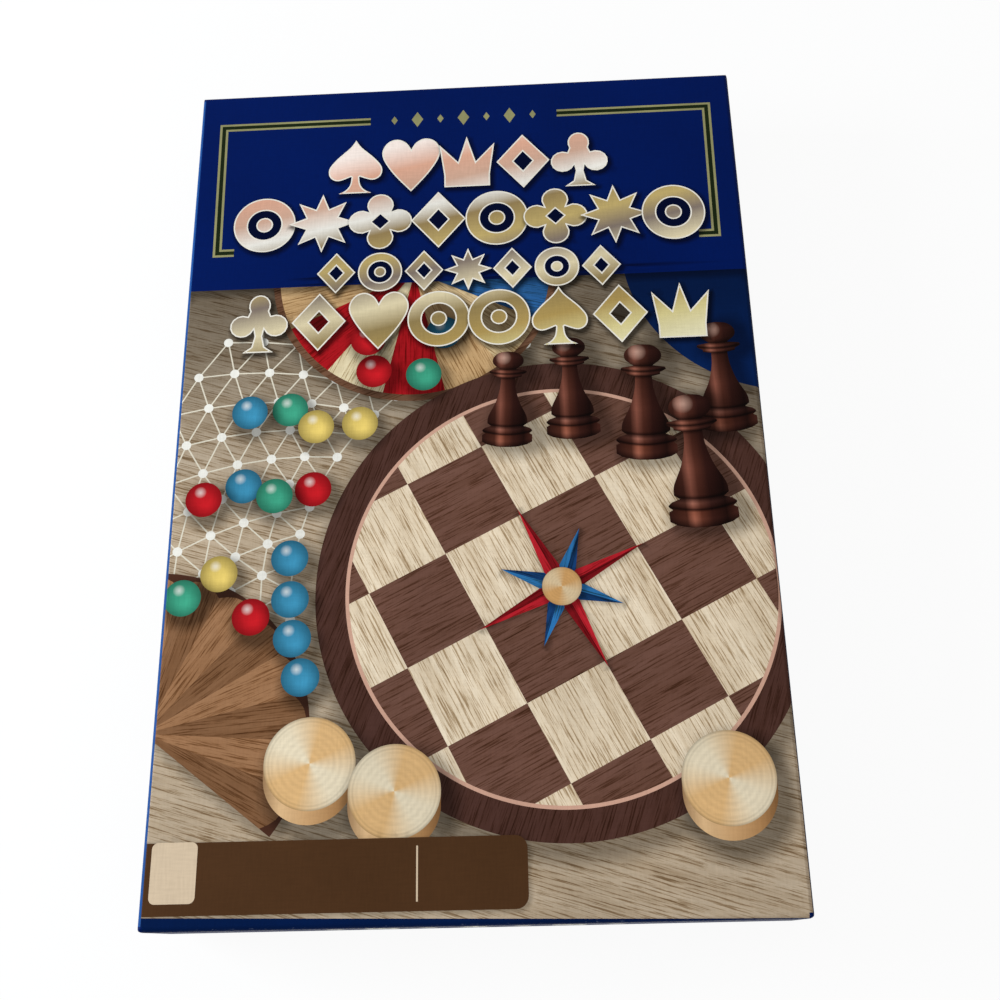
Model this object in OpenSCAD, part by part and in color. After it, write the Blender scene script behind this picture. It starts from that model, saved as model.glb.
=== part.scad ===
// Games compendium box: a paper-wrapped greyboard box with a lift-off lid.
// Inside lie a formed tray with chessmen, draughts and marbles, a two-sided folding board and a rules leaflet.
// The closed box stands on Z = 0, centred on X and Y, with its long side along Y.

/* [Box] */
// Width of the lid, outside
lid_w = 265; // [264:1:290]
// Length of the lid, outside
lid_l = 400; // [398:1:430]
// Height of the closed box
box_h = 45; // [45:1:60]
// Height of the lid's walls, outside
lid_wall_h = 39; // [25:1:41]
// Thickness of the greyboard
board_t = 2; // [1.5:0.1:2.2]
// Thickness of the wrapping paper
paper_t = 0.4; // [0.3:0.05:0.5]
// Gap between the lid and the base on each side
lid_gap = 0.7; // [0.4:0.1:0.8]
// Radius of the wrapped edges and corners
edge_r = 2.2; // [1.5:0.1:3]
// Width of the paper turned in over a rim or under the bottom
turn_in = 15; // [8:1:22]
// Reach of a corner stay along each wall
stay_reach = 16; // [10:1:24]

/* [Tray] */
// Thickness of the formed sheet
sheet_t = 1; // [0.8:0.1:1.2]
// Gap between the tray and the inside of the base
tray_gap = 0.5; // [0.3:0.1:1]
// Width of a chessmen trough at its mouth
trough_w = 28; // [27.5:0.5:30]
// Height of the ribs that part the chessmen
rib_h = 8; // [4:1:10]
// Radius of the finger scoops across the troughs
scoop_r = 16; // [12:1:18]

/* [Playing pieces] */
// Height of the king
king_h = 62; // [54:1:62]
// Diameter of a draught
draught_d = 30; // [26:1:30]
// Thickness of a draught
draught_t = 7.6; // [6:0.2:8]
// Diameter of a marble
marble_d = 12; // [10:0.5:12]
// Draughts of each colour
draught_count = 12; // [8:1:12]

/* [Folding board] */
// Thickness of one leaf
leaf_t = 2.6; // [2:0.1:2.7]
// Margin of backing paper turned over onto the face
leaf_margin = 5; // [3:0.5:10]
// Distance between neighbouring marble seats of the star
seat_pitch = 24; // [20:0.5:24]
// Radius of a marble seat
seat_r = 3; // [2:0.25:4]

/* [Hidden] */
$fn = 48;
LIGHT = "#dcc29a";
DARK = "#5b2c20";
fudge = 1;

// lid, from the outside in
lid_rim_z = box_h - lid_wall_h;
lid_board_w = lid_w - 2 * paper_t;
lid_board_l = lid_l - 2 * paper_t;
lid_in_w = lid_board_w - 2 * board_t;
lid_in_l = lid_board_l - 2 * board_t;
lid_roof_z = box_h - paper_t - board_t;

// base, from the outside in
base_w = lid_in_w - 2 * paper_t - 2 * lid_gap;
base_l = lid_in_l - 2 * paper_t - 2 * lid_gap;
base_board_w = base_w - 2 * paper_t;
base_board_l = base_l - 2 * paper_t;
base_in_w = base_board_w - 2 * board_t;
base_in_l = base_board_l - 2 * board_t;
base_board_z = 2 * paper_t;
floor_z = base_board_z + board_t;
stay_t = 0.3;

// tray
tray_w = base_in_w - 2 * paper_t - 2 * tray_gap;
tray_l = base_in_l - 2 * paper_t - 2 * tray_gap;
tray_r = 4;
land_high = lid_roof_z - 1.2;
land_low = land_high - 2 * leaf_t;
strip_w = 59;
nest_w = tray_w - strip_w;
tray_left = -tray_w / 2;
step_x = tray_left + nest_w;
end_land = 8;
trough_l = tray_l - 2 * end_land;
pocket_z = floor_z + sheet_t;
draft = 2;

// radii at the bottom of the hollows: at their ends, and along the sides of each kind
end_r = 1;
trough_r = 4;
nest_r = 5;
pocket_r = 6;
basin_r = 2;
bay_r = 1.2;

// places and sizes of the hollows
draught_w = draught_d + 3;
land_w = (nest_w - 4 * trough_w - draught_w) / 6;
row_marbles = 10;
marble_r = marble_d / 2;
side_basin_w = draught_w - 2;
basin_l = row_marbles * (marble_d + 0.4) + 8;
draught_pocket_l = (trough_l - basin_l - 2 * end_land) / 2;
scoop_y = tray_l / 4;
strip_x = step_x + strip_w / 2;
basin_w = 54;
channel_pitch = marble_d + 1.2;
channel_gap = 0.2;
marble_z = floor_z + 16 + marble_r;
side_marble_z = floor_z + 10 + marble_r;
basin_y = tray_l / 2 - end_land - basin_l / 2;
bay_w = 54;
bay_l = trough_l - basin_l - end_land;
bay_y = -trough_l / 2 + bay_l / 2;

// chessmen: height and foot radius of each kind
queen_h = king_h * 0.9;
bishop_h = king_h * 0.78;
knight_h = king_h * 0.68;
rook_h = king_h * 0.61;
pawn_h = king_h * 0.475;
king_r = 13;
queen_r = 12.4;
bishop_r = 11.4;
knight_r = 11.6;
rook_r = 11.4;
pawn_r = 9.8;

// nests of the two rows of chessmen of each side, from the -Y end of their troughs: the height of each piece
// with the room that it takes when it lies at a tilt
OFFICERS = [for (h = [king_h, queen_h, bishop_h, bishop_h, knight_h, knight_h]) h + 4];
RANKS = [for (h = [rook_h, rook_h, for (i = [0:7]) pawn_h]) h + 2.7];
rib_w = 3.2;
nest_top = pocket_z + rib_h + 3;
foot_gap = 0.7;

// folding board
leaf_w = nest_w - 2;
leaf_l = tray_l - 4;
spine_x = step_x - 1;
seat_depth = 1;
fold_z = land_low + leaf_t;

// Plan shapes and blocks

module rounded_rect(w, l, r) {
  square([w - 2 * r, l], center = true);
  square([w, l - 2 * r], center = true);
  for (x = [-1, 1], y = [-1, 1])
    translate([x * (w / 2 - r), y * (l / 2 - r)]) circle(r);
}

module crowned_rect(w, h, r) {
  translate([-w / 2, 0]) square([w, h - r]);
  translate([-w / 2 + r, 0]) square([w - 2 * r, h]);
  for (x = [-1, 1])
    translate([x * (w / 2 - r), h - r]) circle(r);
}

// a block whose upright corners and top arrises are round
module soft_block(w, l, h, r) {
  intersection() {
    linear_extrude(h) rounded_rect(w, l, r);
    rotate([90, 0, 0]) linear_extrude(l + 2, center = true) crowned_rect(w, h, r);
    rotate([90, 0, 90]) linear_extrude(w + 2, center = true) crowned_rect(l, h, r);
  }
}

module centred_box(w, l, z0, z1) {
  translate([-w / 2, -l / 2, z0]) cube([w, l, z1 - z0]);
}

// four strips that run round the upright corners of a board shell
module corner_strips(w, l, r, z0, z1) {
  translate([0, 0, z0]) linear_extrude(z1 - z0) intersection() {
    difference() {
      rounded_rect(w, l, r);
      rounded_rect(w - 2 * stay_t, l - 2 * stay_t, r - stay_t);
    }
    for (x = [-1, 1], y = [-1, 1])
      translate([x * w / 2, y * l / 2]) square(2 * stay_reach, center = true);
  }
}

// Lid: the board shell, its corner stays and the printed wrap

module lid_board_block() {
  translate([0, 0, lid_rim_z + paper_t])
    soft_block(lid_board_w, lid_board_l, lid_wall_h - 2 * paper_t, edge_r - paper_t);
}

module lid_stay_strips() {
  corner_strips(lid_board_w, lid_board_l, edge_r - paper_t, lid_rim_z + paper_t + 1, lid_roof_z - 1);
}

module lid_board() {
  color("#8d8478") difference() {
    lid_board_block();
    centred_box(lid_in_w, lid_in_l, lid_rim_z - fudge, lid_roof_z);
    lid_stay_strips();
  }
}

module lid_corner_stays() {
  color("#c9b48f") lid_stay_strips();
}

module lid_cover_wrap() {
  color("#16306e") {
    difference() {
      translate([0, 0, lid_rim_z]) soft_block(lid_w, lid_l, lid_wall_h, edge_r);
      lid_board_block();
      centred_box(lid_in_w - 2 * paper_t, lid_in_l - 2 * paper_t, lid_rim_z - fudge, lid_rim_z + 2);
    }
    difference() {
      centred_box(lid_in_w, lid_in_l, lid_rim_z, lid_rim_z + turn_in);
      centred_box(lid_in_w - 2 * paper_t, lid_in_l - 2 * paper_t, lid_rim_z - fudge, lid_rim_z + turn_in + fudge);
    }
  }
}

// Base: the board shell, its corner stays, the wall wrap and the sheet under the bottom

module base_board_block() {
  translate([0, 0, lid_roof_z - paper_t]) mirror([0, 0, 1])
    soft_block(base_board_w, base_board_l, lid_roof_z - paper_t - base_board_z, edge_r - paper_t);
}

module base_stay_strips() {
  corner_strips(base_board_w, base_board_l, edge_r - paper_t, base_board_z + edge_r, lid_roof_z - paper_t - 1);
}

module base_board() {
  color("#8d8478") difference() {
    base_board_block();
    centred_box(base_in_w, base_in_l, floor_z, box_h);
    base_stay_strips();
  }
}

module base_corner_stays() {
  color("#c9b48f") base_stay_strips();
}

module base_wall_wrap() {
  color("#1d2f63") {
    difference() {
      translate([0, 0, lid_roof_z]) mirror([0, 0, 1])
        soft_block(base_w, base_l, lid_roof_z - paper_t, edge_r);
      base_board_block();
      centred_box(base_in_w - 2 * paper_t, base_in_l - 2 * paper_t, lid_roof_z - 2, box_h);
      centred_box(base_w - 2 * turn_in, base_l - 2 * turn_in, 0, base_board_z + fudge);
    }
    difference() {
      centred_box(base_in_w, base_in_l, lid_roof_z - turn_in, lid_roof_z);
      centred_box(base_in_w - 2 * paper_t, base_in_l - 2 * paper_t, lid_roof_z - turn_in - fudge, box_h);
    }
  }
}

module base_bottom_sheet() {
  color("#22366b") {
    centred_box(base_w - 2 * edge_r - 2, base_l - 2 * edge_r - 2, 0, paper_t);
    centred_box(base_w - 2 * turn_in, base_l - 2 * turn_in, 0, base_board_z);
  }
}

// Tray: a formed sheet with one trough or pocket for each kind of piece.
// A hollow is drawn once and used twice: thickened by the sheet as the outside, and as it is for the inside.

function centre_of_trough(i) = tray_left + land_w * (i + 1) + trough_w * (i + 0.5);
draught_x = tray_left + land_w * 5 + trough_w * 4 + draught_w / 2;
function draught_pocket_y(n) = -trough_l / 2 + draught_pocket_l / 2 + n * (draught_pocket_l + end_land);

// cross-section of a hollow: round at the bottom corners and opening upwards by the draft
module hollow_section(w, depth, r) {
  lean = depth * tan(draft);
  difference() {
    polygon([[-w / 2 + lean, 0], [w / 2 - lean, 0], [w / 2, depth], [-w / 2, depth]]);
    for (side = [-1, 1])
      translate([side * (w / 2 - lean), 0]) difference() {
        square(2 * r, center = true);
        translate([-side * r, r]) circle(r);
      }
  }
}

// a hollow w wide and l long from z0 up to z1, grown by t on every side but its mouth
module hollow(x, y, w, l, z0, z1, r, t) {
  translate([x, y, z0 - t]) intersection() {
    rotate([90, 0, 0]) linear_extrude(l + 2 * t, center = true)
      hollow_section(w + 2 * t, z1 - z0 + t, r + t);
    rotate([90, 0, 90]) linear_extrude(w + 2 * t, center = true)
      hollow_section(l + 2 * t, z1 - z0 + t, end_r + t);
  }
}

function start_of(nests, i) = i == 0 ? 0 : start_of(nests, i - 1) + nests[i - 1] + rib_w;
function row_length(nests) = start_of(nests, len(nests)) - rib_w;
function nest_y(nests, i) = -row_length(nests) / 2 + start_of(nests, i);

// a trough for one row of chessmen: open above the ribs, parted into nests below them
module chess_trough(i, nests, z1, t) {
  x = centre_of_trough(i);
  hollow(x, 0, trough_w, trough_l, pocket_z + rib_h, z1, trough_r, t);
  for (n = [0:len(nests) - 1])
    hollow(x, nest_y(nests, n) + nests[n] / 2, trough_w - 2, nests[n], pocket_z, nest_top, nest_r, t);
}

// middle of channel c of a basin with n channels, measured from the basin's middle
function channel_x(c, n) = (c - (n - 1) / 2) * channel_pitch;

// a basin whose floor has n round channels for rows of marbles with their middles at height z
module marble_basin(x, w, n, z, z1, t) {
  hollow(x, basin_y, w, basin_l, z - marble_r / 3, z1, basin_r, t);
  for (c = [0:n - 1])
    translate([x + channel_x(c, n), basin_y, z]) rotate([90, 0, 0])
      cylinder(r = marble_r + channel_gap + t, h = basin_l - 6 + 2 * t, center = true);
}

module finger_scoops(t) {
  reach = 3 * (trough_w + land_w);
  for (y = [-1, 1])
    translate([centre_of_trough(0), y * scoop_y, land_low + 3]) rotate([0, 90, 0])
      cylinder(r = scoop_r + t, h = reach);
}

module tray_hollows(t, low, high) {
  for (i = [0, 2]) chess_trough(i, OFFICERS, low, t);
  for (i = [1, 3]) chess_trough(i, RANKS, low, t);
  for (n = [0, 1])
    hollow(draught_x, draught_pocket_y(n), draught_w, draught_pocket_l, pocket_z, low, pocket_r, t);
  marble_basin(draught_x, side_basin_w, 2, side_marble_z, low, t);
  marble_basin(strip_x, basin_w, 4, marble_z, high, t);
  hollow(strip_x, bay_y, bay_w, bay_l, pocket_z, high, bay_r, t);
}

// the tray's outer block, or with an inset and a drop what is taken out below its sheet
module tray_block(inset, top_drop) {
  translate([0, 0, floor_z]) linear_extrude(land_low - top_drop - floor_z)
    rounded_rect(tray_w - 2 * inset, tray_l - 2 * inset, tray_r - inset);
  intersection() {
    translate([0, 0, floor_z]) linear_extrude(land_high - top_drop - floor_z)
      rounded_rect(tray_w - 2 * inset, tray_l - 2 * inset, tray_r - inset);
    translate([step_x + inset, -tray_l / 2, floor_z - fudge])
      cube([strip_w + fudge, tray_l, land_high]);
  }
}

module insert_tray() {
  color("#23252b") difference() {
    union() {
      difference() {
        tray_block(0, 0);
        translate([0, 0, -fudge]) tray_block(sheet_t, sheet_t - fudge);
      }
      intersection() {
        tray_block(0, 0);
        union() {
          tray_hollows(sheet_t, land_low, land_high);
          finger_scoops(sheet_t);
        }
      }
    }
    tray_hollows(0, land_low + fudge, land_high + fudge);
    finger_scoops(0);
  }
}

// Folding board: two leaves of greyboard in backing paper, hinged by the face paper along the spine

// seats of one leaf: half of a six-pointed star whose middle lies on the spine, as two triangles laid crosswise
module leaf_seats() {
  arm = 4;
  row_h = seat_pitch * sin(60);
  for (row = [-2 * arm:2 * arm])
    let (
      in_up = row >= -arm ? 2 * arm + 1 - row : 0,
      in_down = row <= arm ? 2 * arm + 1 + row : 0,
      count = max(in_up, in_down)
    )
    for (i = [0:count - 1])
      let (x = (i - (count - 1) / 2) * seat_pitch)
      if (x <= 0.1)
        translate([x, row * row_h, -fudge]) cylinder(r = seat_r, h = fudge + seat_depth);
}

// one leaf lying face up, its spine edge on X = 0 and its body on the -X side
module leaf_core_block() {
  translate([-leaf_w + paper_t, -leaf_l / 2 + paper_t, paper_t])
    cube([leaf_w - paper_t, leaf_l - 2 * paper_t, leaf_t - 2 * paper_t]);
}

module leaf_core() {
  difference() {
    leaf_core_block();
    leaf_seats();
  }
}

module leaf_back() {
  difference() {
    translate([-leaf_w, -leaf_l / 2, 0]) cube([leaf_w, leaf_l, leaf_t]);
    leaf_core_block();
    leaf_face_block(leaf_t);
    leaf_seats();
  }
}

module leaf_face_block(top) {
  translate([-leaf_w + leaf_margin, -leaf_l / 2 + leaf_margin, leaf_t - paper_t])
    cube([leaf_w - leaf_margin, leaf_l - 2 * leaf_margin, top - leaf_t + paper_t]);
}

module on_lower() {
  translate([spine_x, 0, land_low]) children();
}

module on_upper() {
  translate([spine_x, 0, fold_z + leaf_t]) mirror([0, 0, 1]) children();
}

module board_lower_core() {
  color("#8d8478") on_lower() leaf_core();
}

module board_lower_back() {
  color("#1d2f63") on_lower() leaf_back();
}

module board_lower_face() {
  color("#c9b48d") on_lower() leaf_face_block(leaf_t);
}

module board_upper_core() {
  color("#8d8478") on_upper() leaf_core();
}

module board_upper_back() {
  color("#1d2f63") on_upper() leaf_back();
}

module board_upper_face() {
  color("#c9b48d") on_upper() leaf_face_block(leaf_t);
}

// Rules leaflet: one sheet folded in three, in the tray's bay

module rules_leaflet() {
  leaflet_w = 48;
  leaflet_l = 210;
  fold_t = 0.5;
  color("#efece2") translate([strip_x - leaflet_w / 2, bay_y - leaflet_l / 2, pocket_z]) {
    cube([leaflet_w, leaflet_l, fold_t]);
    translate([1, 0, fold_t]) cube([leaflet_w - 1, leaflet_l, fold_t]);
    translate([0, 0, 2 * fold_t]) cube([leaflet_w - 1, leaflet_l, fold_t]);
  }
}

// Chessmen: turned profiles on a common foot and stem

function arc(centre, r, from, to, steps) = [
  for (i = [0:steps]) centre + r * [cos(from + (to - from) * i / steps), sin(from + (to - from) * i / steps)]
];

// plinth, bead and the concave sweep up to a neck of radius neck_r at height neck_z
function foot_and_stem(r, neck_r, neck_z) = concat(
  [[0, 0], [r, 0], [r, 1.6]],
  arc([r - 1.6, 3.2], 1.6, -60, 100, 4),
  [for (i = [0:6]) let (t = i / 6) [neck_r + (r - 3 - neck_r) * pow(1 - t, 2.4), 5.6 + (neck_z - 5.6) * t]]
);

// a collar bead of radius r and thickness t standing on height z
function collar(r, z, t) = arc([r - t / 2, z + t / 2], t / 2, -90, 90, 4);

function ball_top(r, z) = concat(arc([0, z], r, -55, 75, 7), [[0, z + r]]);

module pawn() {
  head_r = pawn_h * 0.17;
  neck_z = pawn_h - 2 * head_r - 2;
  rotate_extrude() polygon(concat(
    foot_and_stem(pawn_r, 3.2, neck_z - 1.6),
    collar(5.6, neck_z - 1.6, 2),
    ball_top(head_r, pawn_h - head_r)
  ));
}

module rook() {
  tower_r = 7.4;
  tower_z = rook_h * 0.72;
  difference() {
    rotate_extrude() polygon(concat(
      foot_and_stem(rook_r, 4.8, tower_z - 4.2),
      collar(7, tower_z - 4.2, 1.8),
      [[5.6, tower_z - 2], [tower_r - 0.8, tower_z], [tower_r, rook_h]],
      [[tower_r - 2.4, rook_h], [tower_r - 2.4, rook_h - 3.2], [0, rook_h - 3.2]]
    ));
    for (a = [0, 60, 120])
      rotate([0, 0, a]) translate([-tower_r - 1, -1.1, rook_h - 2.6]) cube([2 * tower_r + 2, 2.2, 3]);
  }
}

module bishop() {
  mitre_r = 6.2;
  neck_z = bishop_h * 0.58;
  mitre_top = bishop_h - 3.4;
  difference() {
    rotate_extrude() polygon(concat(
      foot_and_stem(bishop_r, 3.6, neck_z - 1.8),
      collar(7, neck_z - 1.8, 1.9),
      [[4.2, neck_z + 0.6]],
      collar(5.6, neck_z + 0.8, 1.4),
      [for (i = [1:7]) let (t = i / 8)
        [mitre_r * sin(60 + 120 * t), neck_z + 2.6 + (mitre_top - neck_z - 2.6) * t]],
      [[1.5, mitre_top - 0.4]],
      ball_top(1.9, bishop_h - 1.9)
    ));
    translate([1.5, -mitre_r - 1, bishop_h * 0.82]) rotate([0, -38, 0]) cube([mitre_r * 2, 2 * mitre_r + 2, 1.2]);
  }
}

module queen() {
  rim_z = queen_h - 5;
  neck_z = queen_h * 0.62;
  difference() {
    rotate_extrude() polygon(concat(
      foot_and_stem(queen_r, 4, neck_z - 1.8),
      collar(8, neck_z - 1.8, 2),
      [[4.8, neck_z + 0.6]],
      collar(6.4, neck_z + 0.8, 1.6),
      [for (i = [0:4]) let (t = i / 4) [4.6 + 3.6 * pow(t, 1.8), neck_z + 3 + (rim_z - neck_z - 3) * t]],
      [[6.4, rim_z + 0.2], [3, rim_z + 1.2]],
      ball_top(2.6, queen_h - 2.6)
    ));
    for (i = [0:8])
      rotate([0, 0, 40 * i]) translate([8.3, 0, rim_z + 0.5]) sphere(r = 1.5);
  }
}

module king() {
  crown_z = king_h - 10.4;
  neck_z = king_h * 0.58;
  rotate_extrude() polygon(concat(
    foot_and_stem(king_r, 4.2, neck_z - 1.8),
    collar(8.6, neck_z - 1.8, 2.2),
    [[5, neck_z + 0.8]],
    collar(6.8, neck_z + 1, 1.6),
    [for (i = [0:4]) let (t = i / 4) [4.9 + 2.9 * pow(t, 1.6), neck_z + 3.2 + (crown_z - neck_z - 3.2) * t]],
    [[7, crown_z + 0.8], [4.4, crown_z + 2.4], [1.6, crown_z + 3.2], [1.6, crown_z + 4], [0, crown_z + 4]]
  ));
  // the cross: four flared arms
  translate([0, 1.1, crown_z + 6.8]) rotate([90, 0, 0]) linear_extrude(2.2)
    for (a = [0, 90, 180, 270])
      rotate(a) polygon([[-0.8, 0], [0.8, 0], [1.7, 3.6], [-1.7, 3.6]]);
}

// smooth closed outline through hand-set points
function spline(p, steps) = [
  for (i = [0:len(p) - 1], s = [0:steps - 1])
    let (
      n = len(p), t = s / steps,
      a = p[(i + n - 1) % n], b = p[i], c = p[(i + 1) % n], d = p[(i + 2) % n]
    )
    0.5 * (2 * b + (c - a) * t + (2 * a - 5 * b + 4 * c - d) * t * t + (3 * b - a - 3 * c + d) * t * t * t)
];

// horse's head seen from the side, facing +X, its neck on Z = 0; heights are shares of the head's own height
HORSE = [
  [-6.4, 0], [-7.6, 0.24], [-7.2, 0.52], [-5, 0.78], [-2.6, 0.92], [-2.2, 1], [-0.4, 0.94], [1.8, 0.86],
  [4.6, 0.68], [8, 0.5], [8.6, 0.39], [7.2, 0.33], [4.4, 0.42], [1.6, 0.46], [2.6, 0.3], [5.6, 0.12], [6, 0]
];

module knight() {
  neck_z = 8.6;
  head_h = knight_h - neck_z;
  rotate_extrude() polygon(concat(
    foot_and_stem(knight_r, 7.4, neck_z - 1),
    collar(8.2, neck_z - 1, 1.6),
    [[0, neck_z + 0.6]]
  ));
  intersection() {
    translate([0, 0, neck_z]) rotate([90, 0, 0]) linear_extrude(12, center = true)
      polygon(spline([for (p = HORSE) [p[0], p[1] * head_h]], 3));
    // thick at the neck and the jowl, thin at the ears
    rotate([90, 0, 90]) linear_extrude(30, center = true)
      polygon([[-5.6, neck_z], [5.6, neck_z], [5, neck_z + head_h * 0.5], [2.2, knight_h + 1], [-2.2, knight_h + 1],
        [-5, neck_z + head_h * 0.5]]);
  }
}

// Places of the chessmen: each lies in its nest, tilted until foot bead and head both touch the floor

bead_r = 1.6;
bead_z = 3.2;
seat_gap = 0.02;

// the tilt for a foot of radius r, and a head bead with its centre at radius head.x and height head.y
function tilt(r, head, head_bead) =
  let (a = r - bead_r - head[0], b = head[1] - bead_z)
  acos((head_bead - bead_r) / norm([a, b])) - atan2(b, a);

module lying(trough, nests, n, r, head, head_bead = 0) {
  a = tilt(r, head, head_bead);
  y = nest_y(nests, n) + foot_gap + r * sin(a);
  z = pocket_z + seat_gap + (r - bead_r) * cos(a) + bead_z * sin(a) + bead_r;
  translate([centre_of_trough(trough), y, z]) rotate([-90 - a, 0, 0]) children();
}

module kings(side) {
  lying(side, OFFICERS, 0, king_r, [7.8, king_h - 10.4]) king();
}

module queens(side) {
  lying(side, OFFICERS, 1, queen_r, [8.2, queen_h - 5]) queen();
}

module bishops(side) {
  for (n = [2, 3]) lying(side, OFFICERS, n, bishop_r, [6, bishop_h * 0.745]) bishop();
}

module knights(side) {
  for (n = [4, 5]) lying(side, OFFICERS, n, knight_r, [2.4, knight_h]) knight();
}

module rooks(side) {
  for (n = [0, 1]) lying(side + 1, RANKS, n, rook_r, [7.4, rook_h]) rook();
}

module pawns(side) {
  for (n = [2:9]) lying(side + 1, RANKS, n, pawn_r, [0, pawn_h * 0.83], pawn_h * 0.17) pawn();
}

module light_king() { color(LIGHT) kings(0); }
module light_queen() { color(LIGHT) queens(0); }
module light_bishops() { color(LIGHT) bishops(0); }
module light_knights() { color(LIGHT) knights(0); }
module light_rooks() { color(LIGHT) rooks(0); }
module light_pawns() { color(LIGHT) pawns(0); }
module dark_king() { color(DARK) kings(2); }
module dark_queen() { color(DARK) queens(2); }
module dark_bishops() { color(DARK) bishops(2); }
module dark_knights() { color(DARK) knights(2); }
module dark_rooks() { color(DARK) rooks(2); }
module dark_pawns() { color(DARK) pawns(2); }

// Draughts: turned discs with a raised rim, a ring groove and a sunk centre on both faces

module draught() {
  r = draught_d / 2;
  half = draught_t / 2;
  rotate_extrude() union() {
    for (side = [-1, 1])
      scale([1, side]) polygon(concat(
        [[0, 0], [r, 0]],
        arc([r - 1.2, half - 1.2], 1.2, 0, 90, 3),
        [[r - 3, half], [r - 3.6, half - 0.8], [r - 5, half - 0.8], [r - 5.6, half - 0.2]],
        [[r - 8.4, half - 0.2], [r - 9, half - 1.2], [0, half - 1.2]]
      ));
  }
}

// a row lying on edge in pocket n, pushed up against its end at side
module draught_row(n, side) {
  pitch = draught_t + 0.05;
  far_end = draught_pocket_y(n) + side * (draught_pocket_l / 2 - 2);
  for (i = [0:draught_count - 1])
    translate([draught_x, far_end - side * (i + 0.5) * pitch, pocket_z + seat_gap + draught_d / 2])
      rotate([90, 0, 0]) draught();
}

module light_draughts() { color(LIGHT) draught_row(0, -1); }
module dark_draughts() { color(DARK) draught_row(1, 1); }

// Marbles: ten of one colour in each channel

module marble_row(x, z) {
  pitch = marble_d + 0.3;
  for (i = [0:row_marbles - 1])
    translate([x, basin_y + (i - (row_marbles - 1) / 2) * pitch, z - channel_gap + seat_gap]) sphere(r = marble_r);
}

module red_marbles() { color("#b5121b") marble_row(strip_x + channel_x(0, 4), marble_z); }
module blue_marbles() { color("#3a8fb8") marble_row(strip_x + channel_x(1, 4), marble_z); }
module yellow_marbles() { color("#d8bd6a") marble_row(strip_x + channel_x(2, 4), marble_z); }
module green_marbles() { color("#3aa57f") marble_row(strip_x + channel_x(3, 4), marble_z); }
module white_marbles() { color("#efece4") marble_row(draught_x + channel_x(0, 2), side_marble_z); }
module black_marbles() { color("#1c1a1c") marble_row(draught_x + channel_x(1, 2), side_marble_z); }

base_board();
base_corner_stays();
base_wall_wrap();
base_bottom_sheet();
lid_board();
lid_corner_stays();
lid_cover_wrap();
insert_tray();
board_lower_core();
board_lower_back();
board_lower_face();
board_upper_core();
board_upper_back();
board_upper_face();
rules_leaflet();
light_king();
light_queen();
light_bishops();
light_knights();
light_rooks();
light_pawns();
dark_king();
dark_queen();
dark_bishops();
dark_knights();
dark_rooks();
dark_pawns();
light_draughts();
dark_draughts();
red_marbles();
blue_marbles();
yellow_marbles();
green_marbles();
white_marbles();
black_marbles();
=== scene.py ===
import math
from functools import partial
import bmesh
import bpy
import numpy as np
from mathutils import Matrix, Vector
from mathutils.geometry import delaunay_2d_cdt
from mathutils.kdtree import KDTree


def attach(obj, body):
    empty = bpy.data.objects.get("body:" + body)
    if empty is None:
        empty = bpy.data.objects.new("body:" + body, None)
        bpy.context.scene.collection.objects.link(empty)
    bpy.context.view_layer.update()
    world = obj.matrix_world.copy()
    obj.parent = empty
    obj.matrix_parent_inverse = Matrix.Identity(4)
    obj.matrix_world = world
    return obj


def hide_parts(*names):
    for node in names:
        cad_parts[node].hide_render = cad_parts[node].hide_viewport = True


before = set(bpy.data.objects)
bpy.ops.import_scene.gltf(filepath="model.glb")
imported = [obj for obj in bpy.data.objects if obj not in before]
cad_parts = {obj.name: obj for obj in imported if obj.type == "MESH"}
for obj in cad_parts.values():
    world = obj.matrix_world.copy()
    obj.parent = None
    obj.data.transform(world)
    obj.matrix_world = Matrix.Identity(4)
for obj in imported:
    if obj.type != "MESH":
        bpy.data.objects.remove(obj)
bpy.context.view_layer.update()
mm = 0.001

# camera: set up first, matched to the corners of the lid
camera = {
    "place": (0.0341, -0.2087, 0.5408),
    "aim": (0.0143, -0.0238, 0.045),
    "roll": 1.193,  # degrees, from the box's own length towards the right
    "lens": 43.38,
    "sensor": 36.0,
    "nearest": 0.01,
}


def put(name, data):  # a new object in the scene
    obj = bpy.data.objects.new(name, data)
    bpy.context.scene.collection.objects.link(obj)
    return obj


def addCamera(c):
    place = Vector(c["place"])
    forward = (Vector(c["aim"]) - place).normalized()
    head = Vector((0, 1, 0))
    upright = (head - forward * head.dot(forward)).normalized()
    roll = math.radians(c["roll"])
    up = upright * math.cos(roll) + forward.cross(upright) * math.sin(roll)
    data = bpy.data.cameras.new("camera")
    data.lens = c["lens"]
    data.sensor_width = c["sensor"]
    data.clip_start = c["nearest"]
    obj = put("camera", data)
    turn = Matrix((forward.cross(up), up, -forward)).transposed().to_4x4()
    obj.matrix_world = Matrix.Translation(place) @ turn
    bpy.context.scene.camera = obj


addCamera(camera)
bpy.context.scene.view_settings.view_transform = "Standard"
print("camera done")


# colours and nodes
def linear(colour):  # sRGB hex to linear
    parts = [int(colour[i:i + 2], 16) / 255 for i in (1, 3, 5)]
    return tuple(c / 12.92 if c <= 0.04045 else ((c + 0.055) / 1.055) ** 2.4 for c in parts) + (1.0,)


signs = {"+": "Math ADD", "-": "Math SUBTRACT", "*": "Math MULTIPLY", "/": "Math DIVIDE"}


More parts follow.
